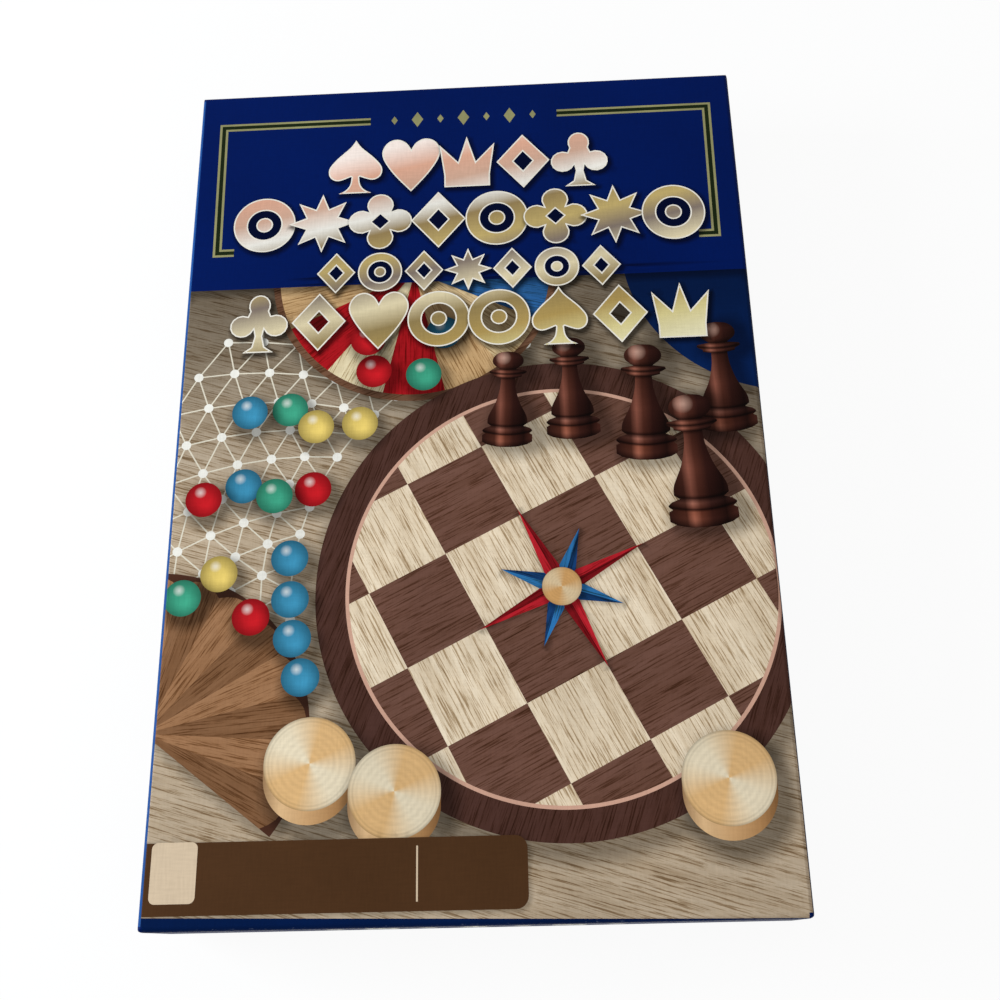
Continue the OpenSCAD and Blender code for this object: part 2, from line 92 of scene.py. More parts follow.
# one node: its kind or sign, with its operation or blend behind it, its inputs in their order or by name, its
# settings. A socket among the inputs is linked, anything else is set, and a colour is given in hex. What comes
# back is its first output, or those in out.
def node(tree, kind, *inputs, out=None, stops=(), **settings):
    kind, _, mode = signs.get(kind, kind).partition(" ")
    made = tree.nodes.new("ShaderNode" + kind)
    if kind == "Mix":
        settings["data_type"] = "RGBA"
    if mode:
        settings["blend_type" if kind == "Mix" else "operation"] = mode
    for key, value in settings.items():
        setattr(made, key, value)
    for i, (at, colour) in enumerate(stops):  # marks of a colour ramp
        mark = made.color_ramp.elements[i] if i < 2 else made.color_ramp.elements.new(at)
        mark.position = at
        mark.color = linear(colour)
    inOrder = [socket for socket in made.inputs if socket.enabled]
    byName = len(inputs) == 1 and isinstance(inputs[0], dict)
    for key, value in inputs[0].items() if byName else enumerate(inputs):
        socket = made.inputs[key] if byName else inOrder[key]
        if isinstance(value, bpy.types.NodeSocket):
            tree.links.new(value, socket)
        else:
            socket.default_value = linear(value) if isinstance(value, str) else value
    if isinstance(out, tuple):
        return [made.outputs[name] for name in out]
    return made.outputs[out] if out else next((socket for socket in made.outputs if socket.enabled), None)


def nodesOf(owner):  # clears a material or world, and gives the function that adds a node to it
    owner.use_nodes = True
    owner.node_tree.nodes.clear()
    return partial(node, owner.node_tree)


def newMaterial(name, make, *given):
    material = bpy.data.materials.new(name)
    make(nodesOf(material), *given)
    return material


def shaded(add, colour, tone):  # a colour made lighter or darker by a number
    return add("Mix MULTIPLY", 1.0, colour, add("CombineColor", tone, tone, tone))


def uneven(add, at, perMetre, detail=2.0, roughness=0.5, place=(0, 0, 0)):  # so many features in a metre
    moved = add("Mapping", {"Vector": at, "Scale": tuple(np.ones(3) * perMetre), "Location": place})
    return add("TexNoise", {"Vector": moved, "Scale": 1.0, "Detail": detail, "Roughness": roughness}, out="Fac")


def finishSurface(add, colour, roughness, height=None, bumpDepth=0.0001, bumpStrength=1.0, **sockets):
    given = {"Base Color": colour, "Roughness": roughness, **sockets}
    if height is not None:
        given["Normal"] = add("Bump", {"Height": height, "Distance": bumpDepth, "Strength": bumpStrength})
    add("OutputMaterial", add("BsdfPrincipled", given))


# printed wrap: what the cover is made of, in millimetres on the flat sheet
cover = {
    "halfWidth": 130.3,  # flat part of the top, as far as the rounded arris
    "halfLength": 197.8,
    "arris": 2.2,
    "paper": 0.4,
    "wallFoot": 6.0,
    "top": 45.0,
    "turnIn": 15.0,
    "grid": 3.2,
    "row": 4.0,
    "keepFlat": 0.8,
    "arrisSteps": 6,
    "cornerSteps": 6,
    "pointsAcross": 41,
    "pointsAlong": 61,
    "wallLines": (8.4, 10.2, 32.4, 34.2),  # from the edge of the flat top
    "wallLineWidth": 0.9,
    "bandFoot": 87.5,
    "wallInk": "#001850",
    "bandInk": "#001755",
    "lineInk": "#8f8c5e",
    "gluedSide": "#c9bfa8",
}
hw, hl = cover["halfWidth"], cover["halfLength"]
arrisLength = cover["arris"] * math.pi / 2
wallEnd = arrisLength + cover["top"] - cover["arris"] - cover["wallFoot"]
rimEnd = wallEnd + cover["arris"] + 0.6
sheetEnd = rimEnd + cover["turnIn"]
artX, artY = hw + arrisLength, hl + arrisLength  # the picture runs over the arris


# outlines, each a closed loop of points
def onCircle(x, y, r, a):
    return np.c_[x + r * np.cos(a), y + r * np.sin(a)]


def circleLoop(x, y, r, step=1.2):
    n = max(12, round(2 * math.pi * r / step))
    return onCircle(x, y, r, np.arange(n) * 2 * math.pi / n)


def boxLoop(x0, y0, x1, y1):
    return np.array([(x0, y0), (x1, y0), (x1, y1), (x0, y1)])


def resample(loop, step):  # extra points on long edges
    points = []
    for a, b in zip(loop, np.roll(loop, -1, axis=0)):
        n = max(1, int(math.ceil(np.linalg.norm(b - a) / step)))
        points += [a + (b - a) * i / n for i in range(n)]
    return np.array(points)


def roundedBox(x0, y0, x1, y1, radii, step):  # radii from the lower left corner, counter-clockwise
    points = []
    for (x, y), r, start in zip(boxLoop(x0, y0, x1, y1), radii, (180, 270, 0, 90)):
        middle = (x + (r if x == x0 else -r), y + (r if y == y0 else -r))
        points += list(onCircle(*middle, r, np.radians(start + np.arange(0, 91, 15) if r else [start])))
    return resample(np.array(points), step)


def place(loop, x=0.0, y=0.0, scale=1.0, turn=0.0):
    c, s = math.cos(math.radians(turn)), math.sin(math.radians(turn))
    return np.asarray(loop, float) @ np.array([[c, s], [-s, c]]) * scale + (x, y)


def smoothLine(points, steps=4):  # open curve through a few points
    p = np.array([points[0], *points, points[-1]], float)
    out = []
    for a, b, c, d in zip(p, p[1:], p[2:], p[3:]):
        for t in np.arange(steps) / steps:
            out.append(tuple(0.5 * (2 * b + (c - a) * t + (2 * a - 5 * b + 4 * c - d) * t * t
                                    + (3 * b - a - 3 * c + d) * t ** 3)))
    return out + [tuple(p[-1])]


def mirrored(half):  # right half from top to bottom, closed with its mirror image
    left = [(-x, y) for x, y in reversed(half) if x > 1e-6]
    return np.array(list(half) + left, float)[::-1]


def area(loop):
    x, y = loop[:, 0], loop[:, 1]
    return 0.5 * float(np.sum(x * np.roll(y, -1) - np.roll(x, -1) * y))


def lengths(vectors):
    return np.maximum(np.linalg.norm(vectors, axis=1, keepdims=True), 1e-9)


def offsetLoop(loop, d):  # d > 0 moves the outline outwards
    loop = loop if area(loop) > 0 else loop[::-1]
    ahead = np.roll(loop, -1, axis=0) - loop
    ahead = ahead / lengths(ahead)
    normal = np.c_[ahead[:, 1], -ahead[:, 0]]
    mitre = normal + np.roll(normal, 1, axis=0)
    mitre = mitre / lengths(mitre)
    reach = np.maximum(np.sum(mitre * normal, axis=1, keepdims=True), 0.45)
    return loop + mitre * d / reach


def clipTo(loop, clip):  # the clip is convex
    out = [tuple(p) for p in loop]
    clip = clip if area(clip) > 0 else clip[::-1]
    for a, b in zip(clip, np.roll(clip, -1, axis=0)):
        edge = b - a
        kept = []
        side = [edge[0] * (p[1] - a[1]) - edge[1] * (p[0] - a[0]) for p in out]
        for i, p in enumerate(out):
            j = i - 1
            if (side[i] >= 0) != (side[j] >= 0):
                t = side[j] / (side[j] - side[i])
                kept.append((out[j][0] + (p[0] - out[j][0]) * t, out[j][1] + (p[1] - out[j][1]) * t))
            if side[i] >= 0:
                kept.append(p)
        out = kept
        if len(out) < 3:
            return None
    return np.array(out)


def inside(points, loops):  # even-odd over all loops
    result = np.zeros(len(points), bool)
    x, y = points[:, 0], points[:, 1]
    for loop in loops:
        for (ax, ay), (bx, by) in zip(loop, np.roll(loop, -1, axis=0)):
            if ay != by:
                result ^= ((ay > y) != (by > y)) & (x < (bx - ax) * (y - ay) / (by - ay) + ax)
    return result


def distanceTo(points, loop):
    best = np.full(len(points), 1e9)
    for a, b in zip(loop, np.roll(loop, -1, axis=0)):
        edge = b - a
        t = np.clip(((points - a) @ edge) / max(float(edge @ edge), 1e-12), 0, 1)
        best = np.minimum(best, np.linalg.norm(points - a - t[:, None] * edge, axis=1))
    return best


def boxed(points, loops, reach=0.0):  # which points lie in the box round the loops
    every = np.vstack(loops)
    return np.all((points >= every.min(axis=0) - reach) & (points <= every.max(axis=0) + reach), axis=1)


def strip(points, width):  # an open line drawn with a width and mitred corners
    p = np.array(points, float)
    d = np.diff(p, axis=0)
    d = d / lengths(d)
    normal = np.c_[-d[:, 1], d[:, 0]]
    side = np.vstack([normal[:1], normal[:-1] + normal[1:], normal[-1:]])
    side = side / lengths(side)
    reach = np.ones((len(p), 1))
    reach[1:-1] = np.sum(side[1:-1] * normal[1:], axis=1, keepdims=True)
    edge = side * width / 2 / reach
    return resample(np.vstack([p + edge, (p - edge)[::-1]]), 4.0)


# every printed shape, from the lowest up: outline, finish, ink, its own coordinates and its printed shadow,
# which is its shift right, shift up, softness and strength
prints = []


def addPrint(finish, ink, loops, origin=(0, 0), turn=0.0, unit=1000.0, seed=0.0, shadow=None, clip=True):
    loops = [np.asarray(loop, float) for loop in loops]
    if clip:
        clipped = [clipTo(loop, boxLoop(-artX, -artY, artX, artY)) for loop in loops]
        loops = [loop for loop in clipped if loop is not None]
    if loops:
        prints.append(dict(finish=finish, ink=ink, loops=loops, origin=origin, turn=turn, unit=unit, seed=seed,
                           shadow=shadow))


# ornaments one unit high, stamped where a title would stand
def clubSide():
    lobe = [(0.17 * math.cos(a), 0.31 + 0.19 * math.sin(a)) for a in np.radians(range(90, -31, -20))]
    return lobe + [tuple(p) for p in onCircle(0.26, -0.04, 0.19, np.radians(range(115, -161, -25)))]


ornaments = {
    "spade": [mirrored(
        smoothLine([(0, 0.5), (0.09, 0.36), (0.3, 0.15), (0.42, -0.03), (0.4, -0.19), (0.27, -0.26), (0.07, -0.19)])
        + smoothLine([(0.06, -0.2), (0.08, -0.34), (0.15, -0.44), (0.26, -0.5)]) + [(0, -0.5)])],
    "heart": [mirrored(smoothLine([(0, 0.29), (0.08, 0.42), (0.22, 0.49), (0.37, 0.44), (0.46, 0.28), (0.43, 0.09),
                                   (0.26, -0.19), (0, -0.5)]))],
    "club": [mirrored(clubSide() + [(0.06, -0.22), (0.1, -0.4), (0.24, -0.5), (0, -0.5)])],
    "lozenge": [np.array([(x, 0), (0, y), (-x, 0), (0, -y)]) for x, y in ((0.42, 0.5), (0.15, 0.18))],
    "ring": [circleLoop(0, 0, 0.48, 0.05), circleLoop(0, 0, 0.26, 0.05), circleLoop(0, 0, 0.13, 0.04)],
    "star": [onCircle(0, 0, np.tile((0.52, 0.27), 8), np.arange(16) * math.pi / 8 + math.pi / 2)],
    "quatrefoil": [onCircle(0, 0, 0.24 + 0.25 * np.abs(np.cos(np.arange(48) * math.pi / 12)) ** 0.7,
                            np.arange(48) * math.pi / 24),
                   np.array([(0.13, 0), (0, 0.13), (-0.13, 0), (0, -0.13)])],
    "crown": [mirrored([(0, 0.5), (0.14, 0.02), (0.44, 0.36), (0.36, -0.22), (0.36, -0.44), (0, -0.44)])],
}
foil = {
    "edge": 0.65,  # light line round each ornament
    "shadow": (1.1, -1.5, 2.4, 0.78),
    "rows": [
        # height of the middle, size, spacing, ornaments
        (153.5, 31.0, 27.5, ["spade", "heart", "crown", "lozenge", "club"]),
        (121.5, 31.5, 28.2, ["ring", "star", "quatrefoil", "lozenge", "ring", "quatrefoil", "star", "ring"]),
        (93.5, 22.0, 21.0, ["lozenge", "ring", "lozenge", "star", "lozenge", "ring", "lozenge"]),
        (67.5, 30.5, 28.2, ["club", "lozenge", "heart", "ring", "ring", "spade", "lozenge", "crown"]),
    ],
    "right": 1.5,
    "fall": 0.012,  # the rows sink a little towards the right
    "wallPitch": 19.0,
    "wallSizes": (10.0, 15.0),
    "wallDepth": 21.8,
    "wallShadow": (0.5, -0.6, 1.2, 0.6),
    "wallEdge": 0.45,
}


def stampOrnament(kind, x, y, size, shadow=foil["shadow"], edge=foil["edge"]):
    loops = [resample(place(loop, x, y, size), 1.3) for loop in ornaments[kind]]
    # light ink round each ornament: a painted highlight on the foil's rounded edge
    addPrint("foilEdge", "#e9e4d8", loops, shadow=shadow, clip=False)
    inner = [offsetLoop(loop, -edge if i % 2 == 0 else edge) for i, loop in enumerate(loops)]
    addPrint("foil", "#ffffff", inner, clip=False)


bandRule = {
    "gap": "#18220f",
    "full": 4.2,  # both lines and the dark gap between them
    "line": 1.15,
    "head": 180.6,
    "foot": 107.8,
    "inner": 46.5,
    "outer": (120.4, 119.6),  # at the head and at the foot
    "hook": 111.4,
    "lozenges": 11.5,
}


def drawBand(rule):
    band = boxLoop(-artX, cover["bandFoot"], artX, artY)
    addPrint("plain", cover["bandInk"], [band], shadow=(0.0, -1.2, 4.2, 0.62))
    head, foot, (upper, lower) = rule["head"], rule["foot"], rule["outer"]
    reach = (rule["full"] - rule["line"]) / 2
    for side in (-1, 1):  # a bracket of two lines with a dark gap
        for shift, finish, ink, width in ((0, "plain", rule["gap"], rule["full"]),
                                          (-reach, "rule", cover["lineInk"], rule["line"]),
                                          (reach, "rule", cover["lineInk"], rule["line"])):
            path = [(side * rule["inner"], head + shift), (side * (upper + shift), head + shift),
                    (side * (lower + shift), foot - shift), (side * rule["hook"], foot - shift)]
            addPrint(finish, ink, [strip(path, width)])
    for i in range(-3, 4):  # small lozenges between the two brackets
        loop = place([(0.32, 0), (0, 0.5), (-0.32, 0), (0, -0.5)], i * rule["lozenges"], head, 5.0 if i % 2 else 9.0)
        addPrint("rule", cover["lineInk"], [resample(loop, 1.5)])


def drawTitlePlace():
    for y, size, pitch, kinds in foil["rows"]:
        for i, kind in enumerate(kinds):
            x = (i - (len(kinds) - 1) / 2) * pitch + foil["right"]
            stampOrnament(kind, x, y - foil["fall"] * x, size)


# the picture: a round marquetry table with a compass star, a fan, coloured balls and turned pieces
picture = {
    "middle": (40.0, -64.0),
    "rim": 106.0,
    "inlay": 93.0,
    "field": 91.4,
    "square": 37.0,
    "tilt": 27.0,
    "star": 40.0,
    "starInks": (("#b5202a", "#7d1219"), ("#2d6fa6", "#173f72")),
    "oak": "#b7a288",
    "cream": "#e2cdaf",
    "walnut": "#6b493c",
    "frame": "#4b2f27",
    "rose": "#d3a58f",
    "hub": 8.5,
    "balls": {"red": "#bd1a22", "green": "#3c9a7b", "blue": "#3a87a9", "yellow": "#dcc067"},
    "ball": 8.2,
    "disc": 19.0,
    "discDepth": 5.5,
    "net": {"first": 117.0, "gap": 13.0, "rings": 7, "step": 6.4, "from": 96.0, "to": 236.0, "spot": 2.2,
            "line": 0.65, "low": -96.0, "high": 60},
    "wheel": {"place": (-24.0, 93.0), "reach": 64.0, "rim": 3.2, "blade": 360 / 14, "from": 180.0,
              "inks": ["#c6a071", "#a3141b", "#d9c7a0", "#a3141b", "#c6a071", "#d3b78a", "#28598c"]},
    "fan": {"place": (-136.0, -122.0), "reach": 64.0, "bow": 4.0, "rim": 5.5, "from": -38.0, "blade": 17.0,
            "count": 8, "inks": ["#7e583b", "#9a6f4d"]},
    "blue": (150, 100, 76),
    "dusk": (88.5, 92),  # a strip hidden under the band, to shade the wood far down
}


def drawTable(p):
    mx, my = p["middle"]
    whole = circleLoop(mx, my, p["rim"], 3)
    addPrint("wood", p["frame"], [whole], turn=70, seed=3.1, shadow=(2.0, -4.0, 8.0, 0.5))
    addPrint("plain", p["rose"], [circleLoop(mx, my, p["inlay"], 3)])
    field = circleLoop(mx, my, p["field"], 3)
    for i in range(-4, 4):
        for j in range(-4, 4):
            square = boxLoop(i, j, i + 1, j + 1) * p["square"]
            loop = clipTo(place(square, mx, my, 1, p["tilt"]), field)
            if loop is None:
                continue
            addPrint("wood", p["cream"] if (i + j) % 2 else p["walnut"], [resample(loop, 6.0)],
                     turn=p["tilt"] + 90 * ((i * 3 + j) % 2), seed=1.7 * i + 5.3 * j)
    for k in range(8):  # compass star: eight points, each with a light and a dark side
        a = math.radians(k * 45 + p["tilt"])
        tip = onCircle(mx, my, p["star"] * (0.68 if k % 2 else 1.0), a)
        for side in (-1, 1):
            loop = np.vstack([(mx, my), tip, onCircle(mx, my, p["star"] * 0.24, a + side * math.radians(22.5))])
            addPrint("wood", p["starInks"][k % 2][0 if side > 0 else 1], [resample(loop, 5.0)], turn=math.degrees(a),
                     seed=k + side, shadow=(0.5, -0.7, 1.6, 0.3))
    addPrint("disc", "#dcc29a", [circleLoop(mx, my, p["hub"])], origin=(mx, my), unit=p["hub"],
             shadow=(0.8, -1.2, 2.5, 0.5))


def drawNet(net, mx, my):  # white spots in rings round the table, each joined to its neighbours by fine lines
    def knot(ring, deg):
        return onCircle(mx, my, net["first"] + net["gap"] * ring, math.radians(deg))[0]

    spots, lines = [], []
    for ring in range(net["rings"]):
        for deg in np.arange(net["from"] + net["step"] / 2 * (ring % 2), net["to"], net["step"]):
            x, y = knot(ring, deg)
            if x < -artX + 2 or not net["low"] < y < net["high"]:
                continue
            spots.append(circleLoop(x, y, net["spot"]))
            ends = [knot(ring, deg + net["step"])]
            if ring + 1 < net["rings"]:
                ends += [knot(ring + 1, deg + net["step"] / 2), knot(ring + 1, deg - net["step"] / 2)]
            lines += [strip([(x, y), end], net["line"]) for end in ends]
    for ink, loops in (("#dfd6c2", lines), ("#f0ece2", spots)):
        for loop in loops:
            addPrint("plain", ink, [loop])


def wedge(middle, reach, arc):  # a sector, its angles in radians
    return resample(np.vstack([middle, onCircle(*middle, reach, arc)]), 4)


def drawWheel(wheel):  # wheel of coloured wedges, half under the band
    whole = circleLoop(*wheel["place"], wheel["reach"] + wheel["rim"], 3)
    addPrint("wood", "#6b4a36", [whole], turn=20, seed=8.0, shadow=(1.0, -2.5, 5.0, 0.45))
    for k, ink in enumerate(wheel["inks"]):
        arc = np.radians(wheel["from"] + wheel["blade"] * (k + np.arange(9) / 8))
        addPrint("wood", ink, [wedge(wheel["place"], wheel["reach"], arc)], turn=math.degrees(arc[4]), seed=k * 1.9)


def drawFan(fan):  # fan of bowed blades on the left edge
    reach, blade = fan["reach"], fan["blade"]
    arc = np.radians(fan["from"] + blade * np.linspace(0, fan["count"], 40))
    addPrint("plain", "#4a2c20", [wedge(fan["place"], reach + fan["rim"], arc)], shadow=(1.0, -2.0, 4.0, 0.4))
    share = np.arange(7) / 6
    for k in range(fan["count"]):
        arc = math.radians(fan["from"] + blade * k) + math.radians(blade) * share
        loop = wedge(fan["place"], reach + fan["bow"] * np.sin(math.pi * share), arc)
        addPrint("wood", fan["inks"][k % 2], [loop], turn=math.degrees(arc[3]), seed=k * 2.3)


def drawBall(x, y, r, ink):
    addPrint("ball", ink, [circleLoop(x, y, r, 1.3)], origin=(x, y), unit=r, shadow=(2.2, -3.2, 5.5, 0.6))


def drawDisc(x, y, r, depth):  # turned wooden disc lying flat, its side showing below
    upper, lower = circleLoop(x, y, r, 2), circleLoop(x, y - depth, r, 2)
    half = len(upper) // 2
    addPrint("turned", "#dfc09a", [np.vstack([upper[:half + 1], lower[half:]])], origin=(x, y), unit=r,
             shadow=(3.5, -4.5, 8.0, 0.62))
    addPrint("disc", "#ecdcbe", [circleLoop(x, y, r, 1.5)], origin=(x, y), unit=r)


skittle = {
    "unit": 0.24,  # widest half, as a share of the height
    "head": smoothLine([(0, 1), (0.09, 0.985), (0.15, 0.93), (0.15, 0.86), (0.08, 0.8)]),
    "neck": smoothLine([(0.18, 0.785), (0.19, 0.765), (0.16, 0.745)]) + [(0.14, 0.735), (0.14, 0.715), (0.075, 0.7)],
    "body": smoothLine([(0.07, 0.7), (0.08, 0.58), (0.12, 0.43), (0.19, 0.28), (0.2, 0.2)]) + [(0.16, 0.17)],
    "foot": smoothLine([(0.22, 0.15), (0.25, 0.12), (0.22, 0.09)]) + [(0.25, 0.075), (0.25, 0.0)],
    "under": smoothLine([(0.2, -0.03), (0.1, -0.055), (0, -0.06)]),
    # light and dark up the piece: share of its height, and what is left of the ink there
    "turnings": [(-0.06, "#6e6868"), (0.0, "#fff0e4"), (0.055, "#f0dccc"), (0.075, "#4c4242"), (0.095, "#c9bdb8"),
                 (0.125, "#ffffff"), (0.165, "#4c4242"), (0.19, "#a89c98"), (0.4, "#d8ccc8"), (0.67, "#a09490"),
                 (0.7, "#483e3e"), (0.722, "#fff6f0"), (0.744, "#504646"), (0.766, "#fff6f0"), (0.795, "#3e3434"),
                 (0.84, "#b0a4a0"), (0.93, "#e8dcd8"), (1.0, "#9c908c")],
}


def drawSkittle(x, y, h, lean):  # dark turned piece with a ball head
    half = sum((skittle[part] for part in ("head", "neck", "body", "foot", "under")), [])
    loop = resample(place(mirrored(half), x, y, h, lean), 1.8)
    addPrint("skittle", "#a87060", [loop], origin=(x, y), turn=lean, unit=h * skittle["unit"],
             shadow=(3.5, -1.5, 7.0, 0.55))


def drawPicture(p):
    mx, my = p["middle"]
    addPrint("wood", p["oak"], [boxLoop(-artX, -artY, artX, cover["bandFoot"])], turn=-17, seed=0.4)
    addPrint("plain", "#092e6c", [circleLoop(*p["blue"], 3)], shadow=(-1.0, -2.0, 5.0, 0.4))
    low, high = p["dusk"]
    addPrint("plain", cover["bandInk"], [boxLoop(-artX, low, artX, high)], shadow=(0.0, 0.0, 125.0, 0.66))
    drawNet(p["net"], mx, my)
    drawWheel(p["wheel"])
    drawFan(p["fan"])
    drawTable(p)
    for r, deg, ink in ((134, 128, "red"), (149, 144, "green"), (134, 144, "yellow"), (119, 156, "red"),
                        (164, 148, "blue"), (149, 160, "blue"), (134, 160, "green"), (164, 164, "red"),
                        (149, 176, "yellow"), (119, 172, "blue"), (134, 184, "red"), (164, 180, "green"),
                        (119, 120, "green"), (134, 112, "blue"), (117, 181, "blue"), (117, 189.5, "blue"),
                        (117, 198, "blue"), (149, 125, "red"), (119, 138, "yellow")):
        drawBall(*onCircle(mx, my, r, math.radians(deg))[0], p["ball"], p["balls"][ink])
    for x, y in ((-66.0, -136.0), (-31.0, -148.0), (104.0, -146.0)):
        drawDisc(x, y, p["disc"], p["discDepth"])
    for x, y, h, lean in ((18.0, 4.0, 45.0, -2.0), (48.0, 7.0, 48.0, 1.0), (117.0, 8.0, 52.0, 2.0),
                          (80.0, -4.0, 54.0, -1.0), (103.0, -36.0, 60.0, 3.0)):
        drawSkittle(x, y, h, lean)


panel = {
    "brown": "#4d321d",
    "cream": "#d9c2a5",
    "box": (-artX, -194.2, 22.4, -166.2),
    "square": (-128.6, -189.6, -110.0, -166.0),
    "rule": ((-21.6, -190.6), (-21.6, -169.4)),
    "ruleWidth": 0.7,
}


def drawPanel(p):  # brown strip along the foot, bare, with a cream square and a fine rule
    addPrint("plain", p["brown"], [roundedBox(*p["box"], (0, 5, 5, 0), 6)], shadow=(0.6, -0.6, 1.6, 0.35))
    addPrint("plain", p["cream"], [roundedBox(*p["square"], (2.5, 2.5, 2.5, 2.5), 3)])
    addPrint("plain", p["cream"], [strip(p["rule"], p["ruleWidth"])])


def drawWalls():  # gold lines and a few stamped ornaments on each wall of the lid
    for along, across, order in ((hl, hw, -1), (hw, hl, 1)):  # the long walls lie the other way round
        for side in (-1, 1):
            for depth in cover["wallLines"]:
                y = side * (across + depth)
                loop = boxLoop(-along, y, along, y + side * cover["wallLineWidth"])[:, ::order]
                addPrint("rule", cover["lineInk"], [resample(loop, 8)], clip=False)
            for i, kind in enumerate(foil["rows"][2][3]):
                at = ((i - 3) * foil["wallPitch"], side * (across + foil["wallDepth"]))[::order]
                stampOrnament(kind, *at, foil["wallSizes"][i % 2], foil["wallShadow"], foil["wallEdge"])


def drawArrisLightAndShade():  # painted light and shade along the arrises, widest at the foot: lighter on the left, darker on the right and at the foot
    step = arrisLength / cover["arrisSteps"]  # borders lie on the rows of the arris, so the corners still close
    right, left = -hl - 4 * step, -194.6  # height of the foot's upper border
    foot = np.array([(-artX, -artY), (artX, -artY), (artX, right), (hw, right), (-hw, left), (-artX, left)])
    # the print's own navy foot strip, made darker as painted shade on the front arris, which faces away from the
    # lamp
    addPrint("plain", "#001844", [resample(foot, 8)])
    # a lighter blue strip as a painted highlight on the left arris, towards the lamp, and a near-black strip as
    # painted shade on the right arris
    for x0, x1, ink in ((-artX, -hw - step, "#1a4580"), (hw + 3 * step, artX, "#12142a")):
        addPrint("plain", ink, [resample(boxLoop(x0, -artY, x1, artY), 8)])


drawPicture(picture)
drawBand(bandRule)
drawPanel(panel)
drawArrisLightAndShade()
drawTitlePlace()
drawWalls()
print("print drawn:", len(prints), "shapes")


# the sheet that the prints lie on: a cross of top and four flaps, cut into triangles along every outline
def foldedAt(d):  # reach past the flat top and height, at a distance d past its edge along the sheet
    r = cover["arris"]
    if d <= arrisLength:
        return r * math.sin(d / r), cover["top"] - r * (1 - math.cos(d / r))
    if d <= wallEnd:
        return r, cover["top"] - r - (d - arrisLength)
    if d <= rimEnd:
        return r - (d - wallEnd), cover["wallFoot"]
    return r - (rimEnd - wallEnd), cover["wallFoot"] + d - rimEnd


def placed(bx, by, nx, ny, reach, z, most=cover["arris"]):  # a point that lies a reach past its base point
    if reach < 0:
        return bx * (hw + reach) / hw, by * (hl + reach) / hl, z
    if nx and ny:  # a corner is square, cut by an upright arc
        reach = min(most, reach / max(abs(nx), abs(ny)))
    return bx + nx * reach, by + ny * reach, z


def sheetRows():
    marks = [arrisLength * k / cover["arrisSteps"] for k in range(cover["arrisSteps"] + 1)]
    marks += [y for depth in cover["wallLines"] for y in (depth, depth + cover["wallLineWidth"])]
    marks = sorted(marks + [wallEnd, rimEnd, sheetEnd])
    rows = [0.0]
    for a, b in zip(marks, marks[1:]):
        n = max(1, math.ceil((b - a) / cover["row"]))
        rows += [a + (b - a) * k / n for k in range(1, n + 1)]
    return rows


def treeOf(points):
    tree = KDTree(len(points))
    for i, (x, y) in enumerate(points):
        tree.insert((x, y, 0), i)
    tree.balance()
    return tree


spacing = {
    "top": 1.4,  # kept free of loose points along the edges of the top, and of a flap
    "flap": 1.0,
    "shadow": 0.8,  # least gap between points round a shadow, and on the plain grid
    "plain": 1.5,
    "cell": 0.75,  # of that gap, so that a cell holds one point
    "coarseFrom": 3,  # softness of a shadow from which every other point does
}



def cutSheet(rows):
    points, known, edges = [], {}, []

    def point(x, y):
        key = (round(x, 5), round(y, 5))
        if key not in known:
            known[key] = len(points)
            points.append((x, y))
        return known[key]

    def line(path, closed=False):
        ids = [point(x, y) for x, y in path]
        edges.extend((a, b) for a, b in zip(ids, ids[1:] + (ids[:1] if closed else [])) if a != b)

    alongY = np.linspace(-hl, hl, cover["pointsAlong"])
    alongX = np.linspace(-hw, hw, cover["pointsAcross"])
    keep = cover["keepFlat"]
    for side in (-1, 1):
        for end in (-1, 1):
            line([(side * (hw + d), end * hl) for d in rows])
            line([(end * hw, side * (hl + d)) for d in rows])
        for d in rows[:cover["arrisSteps"] + 1] + [wallEnd, rimEnd, sheetEnd]:
            line([(side * (hw + d), y) for y in alongY])
            line([(x, side * (hl + d)) for x in alongX])
        line([(side * (hw - keep), y) for y in np.clip(alongY, -hl + keep, hl - keep)])
        line([(x, side * (hl - keep)) for x in np.clip(alongX, -hw + keep, hw - keep)])
    for p in prints:
        for loop in p["loops"]:
            line(loop, closed=True)

    # free points: round the printed shadows, then a plain grid, none of them close to another
    near = treeOf(points)
    taken = set()
    top, flap = spacing["top"], spacing["flap"]

    def free(x, y, gap):
        onTop = abs(x) < hw - top and abs(y) < hl - top
        onFlap = (abs(x) > hw + arrisLength + flap and abs(y) < hl - flap) \
            or (abs(y) > hl + arrisLength + flap and abs(x) < hw - flap)
        if not (onTop or onFlap) or max(abs(x) - hw, abs(y) - hl) > wallEnd - flap:
            return
        ci, cj = int(x // (spacing["cell"] * gap)), int(y // (spacing["cell"] * gap))
        if any((ci + i, cj + j, gap) in taken for i in (-1, 0, 1) for j in (-1, 0, 1)):
            return
        if near.find((x, y, 0))[2] >= gap:
            taken.add((ci, cj, gap))
            points.append((x, y))

    for p in prints:
        if p["shadow"]:
            dx, dy, soft, _ = p["shadow"]
            every = 2 if soft > spacing["coarseFrom"] else 1
            for loop in p["loops"]:
                for reach in (0.0, 0.5, 1.0):
                    for x, y in offsetLoop(loop + (dx, dy), reach * soft)[::every]:
                        free(x, y, spacing["shadow"])
    near = treeOf(points)
    step = cover["grid"]
    for i, y in enumerate(np.arange(-hl - wallEnd, hl + wallEnd, step * 0.87)):
        for x in np.arange(-hw - wallEnd, hw + wallEnd, step) + step / 2 * (i % 2):
            free(x, y, spacing["plain"])
    print("sheet:", len(points), "points,", len(edges), "edges")
    cut = delaunay_2d_cdt([Vector(p) for p in points], edges, [], 1, 1e-5, False)
    flat = np.array([tuple(v) for v in cut[0]])
    faces = np.array([f for f in cut[2] if len(f) == 3])
    middle = flat[faces].mean(axis=1)
    past = np.abs(middle) - (hw, hl)
    inCross = (past.min(axis=1) < 0) & (past.max(axis=1) < sheetEnd)
    return flat, faces[inCross], middle[inCross]


